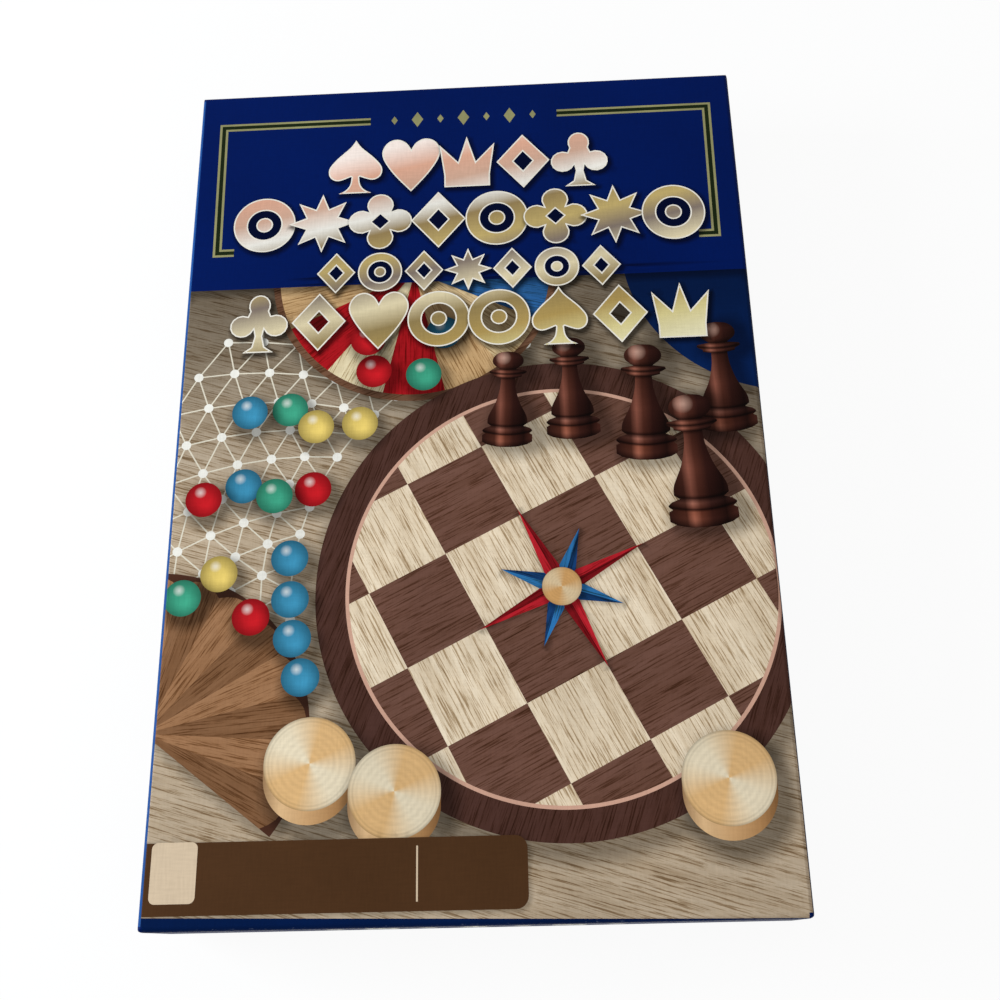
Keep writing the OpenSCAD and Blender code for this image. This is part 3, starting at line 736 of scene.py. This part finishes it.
def layerOf(points):  # number of the highest print at each point, or -1 on bare paper
    found = np.full(len(points), -1)
    for k, p in enumerate(prints):
        near = np.nonzero(boxed(points, p["loops"]))[0]
        if len(near):
            found[near[inside(points[near], p["loops"])]] = k
    return found


def shadeAt(points, layers):  # what the printed shadows of all higher prints leave of the light
    left = np.ones(len(points))
    for k, p in enumerate(prints):
        if not p["shadow"]:
            continue
        dx, dy, soft, strength = p["shadow"]
        loops = [loop + (dx, dy) for loop in p["loops"]]
        near = np.nonzero((layers < k) & boxed(points, loops, soft))[0]
        if len(near):
            gap = np.where(inside(points[near], loops[:1]), 0, distanceTo(points[near], loops[0]))
            t = np.clip(gap / soft, 0, 1)
            left[near] *= 1 - strength * (1 - t * t * (3 - 2 * t))
    return left


def evenNormals(mesh):  # the true normals of flats and arrises, whatever the shape of the triangles
    box = np.array([hw, hl, cover["top"] - cover["arris"]])

    def outward(points):
        away = points - np.c_[np.clip(points[:, :2], -box[:2], box[:2]), np.minimum(points[:, 2], box[2])]
        return away / lengths(away)

    def values(source, name, width):
        out = np.empty(len(source) * width, np.float32)
        source.foreach_get(name, out)
        return out.reshape(-1, width)

    verts = values(mesh.vertices, "co", 3) / mm
    normals = values(mesh.corner_normals, "vector", 3)
    middles = values(mesh.polygons, "center", 3) / mm
    corners = values(mesh.polygons, "loop_total", 1).astype(int)[:, 0]
    vertexOf = values(mesh.loops, "vertex_index", 1).astype(int)[:, 0]
    outer = np.sum(values(mesh.polygons, "normal", 3) * outward(middles), axis=1) > 0.85
    outer &= (np.abs(middles[:, 0]) < box[0]) | (np.abs(middles[:, 1]) < box[1])
    mine = np.repeat(outer, corners)
    normals[mine] = outward(verts[vertexOf[mine]])
    mesh.normals_split_custom_set(normals.tolist())


def fadeFrom(d, middle, width):  # one at the middle of a worn stripe, falling off to both sides
    return np.exp(-((d - middle) / width) ** 2)


def cornerWays(q):  # the ways outwards round corner q of the top, counter-clockwise from the foot's right
    steps = cover["cornerSteps"]
    return [(math.cos(a), math.sin(a)) for a in (math.pi / 2 * (q + k / steps) for k in range(steps + 1))]


def rimPoints():  # points round the edge of the flat top, each with its way outwards
    corners = [(hw, -hl), (hw, hl), (-hw, hl), (-hw, -hl), (hw, -hl)]
    points = []
    for q, (way, a, b) in enumerate(zip(((1, 0), (0, 1), (-1, 0), (0, -1)), corners, corners[1:])):
        count = cover["pointsAcross"] if q % 2 else cover["pointsAlong"]
        points += [(x, y, *way) for x, y in zip(np.linspace(a[0], b[0], count), np.linspace(a[1], b[1], count))]
        points += [(*b, *turned) for turned in cornerWays(q)[1:-1]]
    return points


def buildCover():
    rows = sheetRows()
    flat, faces, middle = cutSheet(rows)
    layers = layerOf(middle)
    print("sheet cut:", len(flat), "points,", len(faces), "triangles")

    verts = []
    for x, y in flat:
        overX, overY = abs(x) - hw, abs(y) - hl
        nx = math.copysign(1, x) if overX > max(overY, 0) else 0
        ny = math.copysign(1, y) if overY > max(overX, 0) else 0
        base = (max(-hw, min(hw, x)), max(-hl, min(hl, y)))
        verts.append(placed(*base, nx, ny, *foldedAt(max(overX, overY, 0))))

    # corner values, one row for each corner of each face
    corner = flat[faces].reshape(-1, 2)
    cornerLayer = np.repeat(layers, 3)
    pairs, back = np.unique(np.c_[faces.reshape(-1), cornerLayer], axis=0, return_inverse=True)
    shade = shadeAt(flat[pairs[:, 0]], pairs[:, 1])[back.reshape(-1)]
    ink = np.array([linear(p["ink"]) for p in prints] + [linear(cover["wallInk"])])[cornerLayer]
    seed = np.array([p["seed"] for p in prints] + [0.0])[cornerLayer]
    slots = np.array([list(finishes).index(p["finish"]) for p in prints] + [0])[layers]
    motif = corner / 1000
    for k, p in enumerate(prints):
        mine = cornerLayer == k
        if mine.any():
            motif[mine] = place(corner[mine] - p["origin"], turn=-p["turn"]) / p["unit"]
    beyond = np.max(np.abs(corner) - (hw, hl), axis=1)
    wear = fadeFrom(beyond, arrisLength * 0.55, 1.3) + 0.7 * fadeFrom(beyond, wallEnd, 1.0)

    # plain faces, beside those cut along the prints
    plain = {"faces": [], "sheet": [], "wear": [], "ink": []}

    def addFace(ids, sheet, worn, colour):
        plain["faces"].append(tuple(ids))
        plain["sheet"] += sheet
        plain["wear"] += worn
        plain["ink"] += [linear(colour)] * len(worn)

    # the four corners, turned from one flap to the next
    for q, (cx, cy) in enumerate(((hw, hl), (-hw, hl), (-hw, -hl), (hw, -hl))):
        fan = []
        for d in rows:
            worn = 0.95 * fadeFrom(d, arrisLength * 0.55, 1.6) + 0.5 * fadeFrom(d, wallEnd, 2)
            ring = []
            for nx, ny in cornerWays(q):
                verts.append(placed(cx, cy, nx, ny, *foldedAt(d)))
                ring.append((len(verts) - 1, (cx + d * nx, cy + d * ny), worn))
            fan.append(ring)
        for upper, lower in zip(fan, fan[1:]):
            for k in range(cover["cornerSteps"]):
                ids, sheet, worn = zip(upper[k], lower[k], lower[k + 1], upper[k + 1])
                addFace(ids, list(sheet), list(worn), cover["wallInk"])

    # the glued side of the sheet: rings from the turned-in edge back to the middle of the top
    t = cover["paper"]
    r = cover["arris"] - t
    inner, edge = foldedAt(sheetEnd)
    foot, turnAt = cover["wallFoot"] + t, cover["top"] - cover["arris"]
    path = [(inner, edge), (inner + t, edge), (inner + t, foot), (r, foot), (r, turnAt)]
    path += [(r * math.cos(a), turnAt + r * math.sin(a)) for a in np.radians((22.5, 45, 67.5, 90))]
    base = rimPoints()
    rings = []
    for reach, z in path:
        start = len(verts)
        verts.extend(placed(*point, reach, z, r) for point in base)
        rings.append(list(range(start, len(verts))))
    bands = [(a[k - 1], a[k], b[k], b[k - 1]) for a, b in zip(rings, rings[1:]) for k in range(len(base))]
    for ids in bands + rings[-1:]:
        addFace(ids, [verts[i][:2] for i in ids], [0.0] * len(ids), cover["gluedSide"])

    mesh = bpy.data.meshes.new("coverWrap")
    mesh.from_pydata([Vector(v) * mm for v in verts], [], [tuple(f) for f in faces] + plain["faces"])
    mesh.polygons.foreach_set("material_index", list(slots) + [0] * len(plain["faces"]))
    more = len(plain["wear"])
    for name, cut, rest in (("shade", shade, np.ones(more)), ("wear", wear, plain["wear"]),
                            ("seed", seed, np.zeros(more))):
        mesh.attributes.new(name, "FLOAT", "CORNER").data.foreach_set("value", np.concatenate([cut, rest]))
    everyInk = np.vstack([ink, plain["ink"]])
    mesh.attributes.new("ink", "FLOAT_COLOR", "CORNER").data.foreach_set("color", everyInk.reshape(-1))
    around = np.array(plain["sheet"]) / 1000
    for name, cut in (("sheet", corner / 1000), ("motif", motif)):
        mesh.uv_layers.new(name=name).data.foreach_set("uv", np.vstack([cut, around]).reshape(-1))

    work = bmesh.new()
    work.from_mesh(mesh)
    bmesh.ops.remove_doubles(work, verts=work.verts, dist=2e-6)
    bmesh.ops.dissolve_degenerate(work, edges=work.edges, dist=1e-7)
    bmesh.ops.recalc_face_normals(work, faces=work.faces)
    print("cover wrap:", len(work.faces), "faces,", sum(not e.is_manifold for e in work.edges), "open edges")
    work.to_mesh(mesh)
    work.free()
    mesh.shade_smooth()
    mesh.set_sharp_from_angle(angle=math.radians(40))
    evenNormals(mesh)
    return put("coverWrap", mesh)


# linen-embossed paper: what the cover, the base and the board's backs share
linen = {
    "threads": 1150,  # per metre: drawn coarser than the real emboss of about 2,000, which is too fine to show
    "length": 130,
    "depth": 0.00004,
    "shine": 0.03,
    "fibre": "#8f9fc0",
    "dust": "#dfe3ea",
}


def weave(add, at, deep=(1, 1), place=(0, 0, 0)):  # threads that cross
    weft = uneven(add, at, (linen["length"], linen["threads"], deep[0]), 1.0)
    return add("+", weft, uneven(add, at, (linen["threads"], linen["length"], deep[1]), 1.0, place=place))


def weaveSheenAndInkTone(add, threads, cloud, threadSheen, even):  # the raised threads are painted lighter, a painted highlight of the weave, and the ink lies unevenly over the sheet
    return add("*", add("MapRange", threads, 0.7, 1.3, *threadSheen), add("MapRange", cloud, 0.3, 0.7, *even))


def printedPaper(add, colour, roughness=0.5, metallic=0.0, shine=linen["shine"]):
    sheet = add("UVMap", uv_map="sheet")
    threads = weave(add, sheet, place=(3, 7, 0))
    cloud = uneven(add, sheet, (16, 16, 1), 3.0)
    # tone of the weave: a painted highlight on the raised threads, with uneven ink
    tone = weaveSheenAndInkTone(add, threads, cloud, (0.95, 1.05), (0.91, 1.09))
    colour = shaded(add, colour, add("*", tone, add("Attribute", attribute_name="shade", out="Fac")))
    # fibres show where the arrises and corners have rubbed
    rub = add("*", add("Attribute", attribute_name="wear", out="Fac"), uneven(add, sheet, (420, 420, 1), 4.0, 0.65))
    worn = add("MapRange", rub, 0.56, 0.8, 0.0, 0.7)
    colour = add("Mix", worn, colour, linen["fibre"])
    specks = add("TexVoronoi", {"Vector": sheet, "Scale": 26.0}, out="Distance")
    colour = add("Mix", add("MapRange", specks, 0.008, 0.013, 0.7, 0.0), colour, linen["dust"])
    dull = add("MapRange", cloud, 0.3, 0.7, roughness - 0.04, roughness + 0.05)
    dull = add("+", dull, add("*", worn, 0.3))
    finishSurface(add, colour, dull, threads, linen["depth"], 0.6,
                  **{"Metallic": metallic, "Specular IOR Level": shine})


def inked(add, *tones):  # the print's own ink, multiplied by each tone
    colour = add("Attribute", attribute_name="ink", out="Color")
    for tone in tones:
        colour = add("Mix MULTIPLY", 1.0, colour, tone)
    return colour


def plainPrint(add):  # flat offset ink on linen-embossed paper: even colour with a faint weave
    printedPaper(add, inked(add))


def woodPrint(add):  # offset print of veneer: slow bands of tone, crisp dark pores and pale flecks along the grain
    # the seed moves the grain, so that it differs from piece to piece
    seed = add("Attribute", attribute_name="seed", out="Fac")
    away = add("CombineXYZ", seed, add("*", seed, 0.37))
    local = add("VectorMath ADD", add("UVMap", uv_map="motif"), away)
    bands = uneven(add, local, (9, 130, 1), 3.0, 0.55)
    pores = uneven(add, local, (48, 1250, 1), 4.0, 0.68)
    streaks = uneven(add, local, (24, 430, 1), 3.0, 0.6, place=(5, 9, 0))
    tone = add("+", add("MapRange", bands, 0.3, 0.7, 0.88, 1.14), add("MapRange", pores, 0.51, 0.6, 0.08, -0.48))
    tone = add("+", tone, add("MapRange", streaks, 0.54, 0.7, 0.0, -0.2))
    warm = [add("Math POWER", tone, power) for power in (1.25, 1.6)]
    printedPaper(add, inked(add, add("CombineColor", tone, *warm)))


def goldRule(add):  # dull bronze printing ink: an olive gold with a slight sheen
    patch = uneven(add, add("UVMap", uv_map="sheet"), (40, 40, 1), 3.0)
    tone = add("MapRange", patch, 0.3, 0.7, 0.85, 1.18)
    printedPaper(add, shaded(add, inked(add), tone), 0.42, 0.25, 0.3)


def foilEdge(add):  # painted highlight: light ink on the edge of the stamped foil, where the die rounds it
    printedPaper(add, inked(add), 0.34, 0.5, 0.4)


def foilStamp(add):  # hot-stamped foil, its colour a painted reflection of a room: from white over copper to gold and grey up the sheet
    x, y = add("SeparateXYZ", add("UVMap", uv_map="sheet"), out=("X", "Y"))
    slant = add("-", y, add("*", x, 0.22))
    # painted reflection: colours by height on the sheet
    stops = [(30, "#e2ddba"), (45, "#cfc48a"), (58, "#a88f52"), (72, "#8d7a4e"), (84, "#d9cda9"), (98, "#7c6f66"),
             (110, "#b9a468"), (124, "#8f7a50"), (134, "#e6e4dc"), (146, "#c9a48f"), (158, "#d8a58c"),
             (172, "#f1e4dc")]  # height on the sheet in mm
    low, high = stops[0][0], stops[-1][0]
    colour = add("ValToRGB", add("MapRange", slant, low / 1000, high / 1000),
                 stops=[((at - low) / (high - low), ink) for at, ink in stops])
    printedPaper(add, colour, 0.3, 0.85, 0.5)


def ballPrint(add):  # print of a glazed ball: bright spot, dark limb, a little light thrown back from below
    local = add("UVMap", uv_map="motif")
    limb = add("VectorMath LENGTH", local)
    spot = add("VectorMath DISTANCE", local, (-0.2, 0.42, 0))
    glow = add("VectorMath DISTANCE", local, (0.32, -0.38, 0))
    tone = add("+", add("MapRange", limb, 0.35, 1.0, 1.02, 0.5), add("MapRange", glow, 0.0, 0.75, 0.3, 0.0))
    lit = add("MapRange", spot, 0.02, 0.34, 0.6, 0.0)
    printedPaper(add, add("Mix", lit, shaded(add, inked(add), tone), "#f4f1ea"))


def discPrint(add):  # print of a turned maple disc from above: fine rings, and a sheen that turns round its middle
    local = add("UVMap", uv_map="motif")
    far = add("VectorMath LENGTH", local)
    x, y = add("SeparateXYZ", local, out=("X", "Y"))
    angle = add("+", add("Math ARCTAN2", y, x), 0.7)
    lobe = add("Math COSINE", add("*", angle, 2.0))
    sheen = add("Mix", add("MapRange", lobe, -0.7, 0.9), "#f3d3aa", "#ffffff")
    wave = add("Math SINE", add("*", far, 44.0))
    rim = add("ValToRGB", far, stops=[
        (0.0, "#ffffff"), (0.86, "#ffffff"), (0.9, "#e6e6e6"), (0.94, "#ffffff"), (1.0, "#c9c9c9")])
    rings = add("MapRange", wave, -1.0, 1.0, 0.94, 1.02)
    printedPaper(add, shaded(add, inked(add, sheen, rim), rings))


def litAcross(add, x, stops):  # light and dark over the width of a turned piece
    return add("ValToRGB", add("MapRange", x, -1.0, 1.0), stops=stops)


def turnedPrint(add):  # print of the edge of a turned disc: pale, darker towards its right
    x = add("SeparateXYZ", add("UVMap", uv_map="motif"), out="X")
    printedPaper(add, inked(add, litAcross(add, x, [
        (0.0, "#b4a494"), (0.2, "#fff4e2"), (0.5, "#ead6bc"), (0.8, "#c6ab8c"), (1.0, "#8c7258")])))


def skittlePrint(add):  # print of dark lacquered wood: nearly black, bright along one side and on each bead
    local = add("UVMap", uv_map="motif")
    x, y = add("SeparateXYZ", local, out=("X", "Y"))
    lit = litAcross(add, x, [(0.0, "#4c4446"), (0.24, "#7c706c"), (0.35, "#fff4ee"), (0.46, "#a08f88"),
                             (0.62, "#5e5254"), (0.84, "#342d2f"), (1.0, "#6a5f60")])
    sag = add("*", add("*", x, x), 0.16)  # a turned line seen from above
    marks = [(at / skittle["unit"], ink) for at, ink in skittle["turnings"]]
    low, high = marks[0][0], marks[-1][0]
    turned = add("ValToRGB", add("MapRange", add("-", y, sag), low, high),
                 stops=[((at - low) / (high - low), ink) for at, ink in marks])
    spot = add("MapRange", add("VectorMath DISTANCE", local, (-0.2, 3.86, 0)), 0.02, 0.34, 0.55, 0.0)
    printedPaper(add, add("Mix", spot, inked(add, lit, turned), "#e2b9a6"))


finishes = {  # in the order of the cover's materials
    "plain": ("offset_ink_plain", plainPrint),
    "wood": ("offset_ink_veneer", woodPrint),
    "rule": ("bronze_ink_rule", goldRule),
    "foilEdge": ("hot_foil_edge", foilEdge),
    "foil": ("hot_foil_stamped", foilStamp),
    "ball": ("offset_ink_ball", ballPrint),
    "disc": ("offset_ink_disc", discPrint),
    "turned": ("offset_ink_turned", turnedPrint),
    "skittle": ("offset_ink_skittle", skittlePrint),
}
coverWrap = buildCover()
for name, make in finishes.values():
    coverWrap.data.materials.append(newMaterial(name, make))
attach(coverWrap, "lid")
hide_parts("lid_cover_wrap")
print("cover done")


# the CAD nodes: each keeps its shape and gets the material of the real piece
def inBox(add, *axes):  # place in the box, in metres, which follows a piece when it moves; then each axis asked for
    at = add("TexCoord", out="Object")
    return [at, *add("SeparateXYZ", at, out=axes)] if axes else at


def greyboard(add):  # pressed waste-paper board: speckled grey, matt, with flecks of fibre
    at = inBox(add)
    fleck = uneven(add, at, (1400, 500, 900), 2.0)
    tone = add("+", add("MapRange", uneven(add, at, 60, 4.0), 0.3, 0.7, 0.88, 1.08),
               add("MapRange", fleck, 0.62, 0.75, 0.0, -0.3))
    finishSurface(add, shaded(add, "#8d8478", tone), 0.92, fleck, 0.00008)


def stayPaper(add):  # gummed kraft tape: brown, with long fibres
    fibre = uneven(add, inBox(add), (300, 300, 1500), 3.0, 0.6)
    tone = add("MapRange", fibre, 0.3, 0.7, 0.84, 1.1)
    finishSurface(add, shaded(add, "#b98f5a", tone), 0.7, fibre, 0.00005)


def basePaper(add):  # navy linen-embossed paper: the weave catches light, through its bump and a painted highlight on its raised threads; the lower arrises are rubbed pale
    at, x, y, z = inBox(add, "X", "Y", "Z")
    threads = weave(add, add("CombineXYZ", add("+", x, y), z, x), (130, 900))
    tone = weaveSheenAndInkTone(add, threads, uneven(add, at, 25, 3.0), (0.86, 1.14), (0.92, 1.1))
    low = add("MapRange", z, 0.0, 0.003, 1.0, 0.0)
    rub = add("*", low, uneven(add, at, 260, 4.0, 0.65))
    colour = add("Mix", add("MapRange", rub, 0.42, 0.62, 0.0, 0.6), shaded(add, "#0b2a68", tone), linen["fibre"])
    finishSurface(add, colour, 0.52, threads, 0.00004, 0.7, **{"Specular IOR Level": 0.25})


def traySheet(add):  # vacuum-formed black polystyrene: satin, faintly pebbled, scuffed grey on its lands
    at, z = inBox(add, "Z")
    sag = uneven(add, at, 30, 2.0)
    lands = [add("Math COMPARE", z, height, 0.0002) for height in (0.0362, 0.0414)]
    scuff = add("*", add("Math MAXIMUM", *lands), uneven(add, at, (90, 700, 90), 5.0, 0.7))
    rub = add("MapRange", scuff, 0.5, 0.72, 0.0, 0.4)
    tone = add("MapRange", sag, 0.3, 0.7, 0.85, 1.2)
    colour = add("Mix", rub, shaded(add, "#1d1e23", tone), "#5a5d66")
    dull = add("+", add("MapRange", sag, 0.3, 0.7, 0.34, 0.46), add("*", rub, 0.5))
    finishSurface(add, colour, dull, uneven(add, at, 1800, 2.0), 0.00003, 0.5)


playBoard = {
    "spine": 0.0657,
    "square": 0.043,
    "rows": 4,  # squares from the spine to the frame, and from the middle to either end
    "light": "#dcc394",
    "dark": "#6a4330",
    "frame": "#4c2d21",
    "inlay": "#d9b98a",
    "inlayAt": 0.0012,
    "inlayHalf": 0.0008,
    "pitch": 0.02078,  # between rows of star points
    "starReach": 0.0935,
    "line": 0.014,  # half a line's width, as a share of the pitch
    "ground": "#13295e",
    "star": "#e5dcc2",
    "lines": "#3a2a24",
}


def rubbed(add, at, colour, low, most, bare):  # pale where hands have worn the print
    worn = add("MapRange", uneven(add, at, 50, 5.0, 0.7), low, 0.78, 0.0, most)
    return add("Mix", worn, colour, bare)


def boardFace(add, flip):  # offset print of a veneered chequerboard with a walnut frame and a light inlay
    p = playBoard
    side = p["square"]
    at, x, y = inBox(add, "X", "Y")
    reach = add("-", p["spine"], x)
    column = add("Math FLOOR", add("/", reach, side))
    row = add("Math FLOOR", add("/", add("+", y, 10 * side), side))
    total = add("+", add("+", column, row), 20.0 + flip)
    dark = add("Math MODULO", total, 2.0)
    # grain runs along one side of a square and across its neighbour, and differs from square to square
    turned = add("CombineXYZ", y, x, add("*", total, 0.3))
    straight = add("CombineXYZ", x, y, add("*", column, 0.7))
    along = add("Mix", dark, straight, turned)
    grain = uneven(add, along, (14, 190, 1), 3.0, 0.6)
    tone = add("+", add("MapRange", grain, 0.3, 0.7, 0.82, 1.14),
               add("MapRange", uneven(add, along, (90, 1900, 1), 2.0, 0.6), 0.58, 0.75, 0.0, -0.25))
    colour = add("Mix", dark, p["light"], p["dark"])
    edge = side * p["rows"]
    out = add("Math MAXIMUM", reach, add("Math ABSOLUTE", y))
    colour = add("Mix", add("Math GREATER_THAN", out, edge), colour, p["frame"])
    inlay = add("Math COMPARE", out, edge + p["inlayAt"], p["inlayHalf"])
    colour = shaded(add, add("Mix", inlay, colour, p["inlay"]), tone)
    finishSurface(add, rubbed(add, at, colour, 0.62, 0.12, "#efe6d2"), 0.42, grain, 0.00002, 0.3)


def boardBack(add, inks):  # offset print of a star field: six arms, fine lattice, on rubbed navy paper
    p = playBoard
    at, x, y = inBox(add, "X", "Y")
    x = add("-", x, p["spine"])

    def highest(a, b, c):
        return add("Math MAXIMUM", add("Math MAXIMUM", a, b), c)

    def lattice(slope):
        turns = add("+", add("/", slope, p["pitch"]), 20.5)
        off = add("Math ABSOLUTE", add("-", add("Math FRACT", turns), 0.5))
        return add("Math LESS_THAN", off, p["line"])

    slopes = []  # three directions; the star is where two triangles lie
    for a in np.radians((90, 210, 330)):
        slopes.append(add("+", add("*", x, math.cos(a)), add("*", y, math.sin(a))))
    slopes += [add("*", slope, -1.0) for slope in slopes]
    least = add("Math MINIMUM", highest(*slopes[:3]), highest(*slopes[3:]))
    star = add("Math LESS_THAN", least, p["starReach"])
    colour = add("Mix", star, p["ground"], p["star"])
    for slope, ink in zip(slopes, inks):
        if ink:
            arm = add("*", star, add("Math GREATER_THAN", slope, p["starReach"]))
            colour = add("Mix", arm, colour, ink)
    lines = add("*", highest(*(lattice(slope) for slope in slopes[:3])), star)
    colour = add("Mix", add("*", lines, 0.7), colour, p["lines"])
    threads = weave(add, at)
    # a painted highlight on the raised threads of the weave, with uneven ink
    colour = shaded(add, colour, weaveSheenAndInkTone(add, threads, uneven(add, at, 20, 3.0), (0.93, 1.06), (0.92, 1.06)))
    finishSurface(add, rubbed(add, at, colour, 0.6, 0.16, "#cfd4de"), 0.5, threads, 0.00003, 0.6)


def leafletPaper(add):  # uncoated offset paper: warm white, with painted shade a little darker past its folds, away from its middle
    at, x = inBox(add, "X")
    fibre = uneven(add, at, 900, 3.0)
    fold = add("Math ABSOLUTE", add("-", x, 0.0962))  # from the leaflet's middle
    # painted fold shade: darker beyond the folds
    tone = add("*", add("MapRange", fibre, 0.3, 0.7, 0.95, 1.03), add("MapRange", fold, 0.0205, 0.024, 1.0, 0.86))
    finishSurface(add, shaded(add, "#ece7d8", tone), 0.82, fibre, 0.00004, 0.5)


def lacqueredWood(add, pale, deep, grain, coat):  # turned wood under clear lacquer: fine grain and a soft shine
    at = inBox(add)
    rings = uneven(add, at, grain, 3.0, 0.55)
    pores = uneven(add, at, tuple(4 * g for g in grain), 3.0, 0.65)
    colour = add("Mix", add("MapRange", rings, 0.34, 0.66), deep, pale)
    colour = shaded(add, colour, add("MapRange", pores, 0.5, 0.7, 1.03, 0.8))
    rub = add("MapRange", uneven(add, at, 160, 4.0, 0.7), 0.62, 0.78, 0.0, 0.2)
    dull = add("MapRange", rings, 0.3, 0.7, 0.28, 0.4)
    finishSurface(add, add("Mix", rub, colour, pale), dull, pores, 0.00002, 0.4,
                  **{"Coat Weight": coat, "Coat Roughness": 0.12})


def marbleGlass(add, ink, swirlInk):  # pressed opaque glass: deep gloss and a slow swirl of a second tone
    at = inBox(add)
    bend = uneven(add, at, 90, 2.0)
    away = add("CombineXYZ", *(add("*", bend, share) for share in (0.012, 0.02)))
    swirl = uneven(add, add("VectorMath ADD", at, away), (140, 60, 220), 2.0)
    colour = add("Mix", add("MapRange", swirl, 0.5, 0.62, 0.0, 0.55), ink, swirlInk)
    finishSurface(add, colour, add("MapRange", bend, 0.3, 0.7, 0.05, 0.11), **{"IOR": 1.52, "Coat Weight": 0.3})


def dress(make, name, nodes, *given):
    material = newMaterial(name, make, *given)
    for nodeName in nodes:
        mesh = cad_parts[nodeName].data
        mesh.materials.clear()
        mesh.materials.append(material)


dress(greyboard, "greyboard_pressed", ["base_board", "lid_board", "board_lower_core", "board_upper_core"])
dress(stayPaper, "kraft_tape_gummed", ["base_corner_stays", "lid_corner_stays"])
dress(basePaper, "linen_paper_navy", ["base_wall_wrap", "base_bottom_sheet"])
dress(traySheet, "polystyrene_vacuum_formed", ["insert_tray"])
dress(boardFace, "veneer_print_lower", ["board_lower_face"], 0.0)
dress(boardFace, "veneer_print_upper", ["board_upper_face"], 1.0)
dress(boardBack, "star_print_lower", ["board_lower_back"], ["#b3202a", "#2f7fae", None, "#2a2a2e", None, "#2e8f6b"])
dress(boardBack, "star_print_upper", ["board_upper_back"], ["#b3202a", "#d9b54e", None, "#2a2a2e", None, "#d8d3c6"])
dress(leafletPaper, "offset_paper_uncoated", ["rules_leaflet"])
for wood, side, inks, coat in (("boxwood", "light_", ("#e4c997", "#cda465"), 0.35),
                               ("rosewood", "dark_", ("#743624", "#431a11"), 0.5)):
    men = [side + kind for kind in ("king", "queen", "bishops", "knights", "rooks", "pawns")]
    dress(lacqueredWood, wood + "_lacquered", men, *inks, (110, 18, 800), coat)
    dress(lacqueredWood, wood + "_disc", [side + "draughts"], *inks, (18, 240, 800), coat)
for name, ink, swirlInk in (("red", "#a80f18", "#5c0509"), ("blue", "#2c7fae", "#0f3f74"),
                            ("yellow", "#d9b548", "#f0e2a8"), ("green", "#2f9a70", "#0f5a3e"),
                            ("white", "#eae6dc", "#c9cfd6"), ("black", "#161517", "#3a3a42")):
    dress(marbleGlass, "opaque_glass_" + name, [name + "_marbles"], ink, swirlInk)
print("materials done")


# floor, surroundings and lamps: a white sweep in even light, with a large soft lamp on the left
studio = {
    "floor": 3.0,
    "glow": 0.93,
    "sweepFrom": 0.9,  # metres from the box over which the floor runs into the white beyond it
    "sweepTo": 2.7,
    "paper": 0.95,  # how white the floor is to the eye, and to light that bounces
    "paperForLight": 0.4,
    "skyForLight": 0.46,
    "lamps": {
        # place, watts, size, colour
        "key": ((-1.2, 0.1, 0.46), 21.0, 0.5, (0.86, 0.94, 1.0)),
        "fill": ((0.3, -0.9, 1.1), 2.0, 1.0, (1.0, 0.95, 0.88)),
    },
}


def directRays(add):  # one for what the camera, a mirror or glass sees, nought for light that bounces
    seen, mirrors, glass = add("LightPath", out=("Is Camera Ray", "Is Glossy Ray", "Is Transmission Ray"))
    return add("Math MAXIMUM", add("Math MAXIMUM", seen, mirrors), glass)


def backdrop(add, s):  # white seamless paper: bright, with a little of each shadow left
    direct = directRays(add)
    white = add("MapRange", direct, 0.0, 1.0, s["paperForLight"], s["paper"])
    far = add("VectorMath LENGTH", add("TexCoord", out="Object"))
    share = add("*", direct, add("MapRange", far, s["sweepFrom"], s["sweepTo"], s["glow"], 1.0))
    diffuse = add("BsdfDiffuse", add("CombineColor", white, white, white))
    add("OutputMaterial", add("MixShader", share, diffuse, add("Emission", "#ffffff", 1.0)))


def addStudio(s):
    half = s["floor"]
    mesh = bpy.data.meshes.new("floor")
    mesh.from_pydata([(*p, 0) for p in boxLoop(-half, -half, half, half)], [], [(0, 1, 2, 3)])
    mesh.materials.append(newMaterial("paper_backdrop", backdrop, s))
    floor = put("floor", mesh)
    world = bpy.data.worlds.new("surroundings")
    bpy.context.scene.world = world
    add = nodesOf(world)
    strength = add("MapRange", directRays(add), 0.0, 1.0, s["skyForLight"], 1.0)
    add("OutputWorld", add("Background", "#ffffff", strength))
    for name, (at, watts, size, colour) in s["lamps"].items():
        light = bpy.data.lights.new(name, "AREA")
        light.color = colour
        light.energy = watts
        light.size = size
        lamp = put(name, light)
        lamp.location = at
        lamp.rotation_euler = (-Vector(at)).to_track_quat("-Z", "Y").to_euler()


addStudio(studio)
print("studio done")
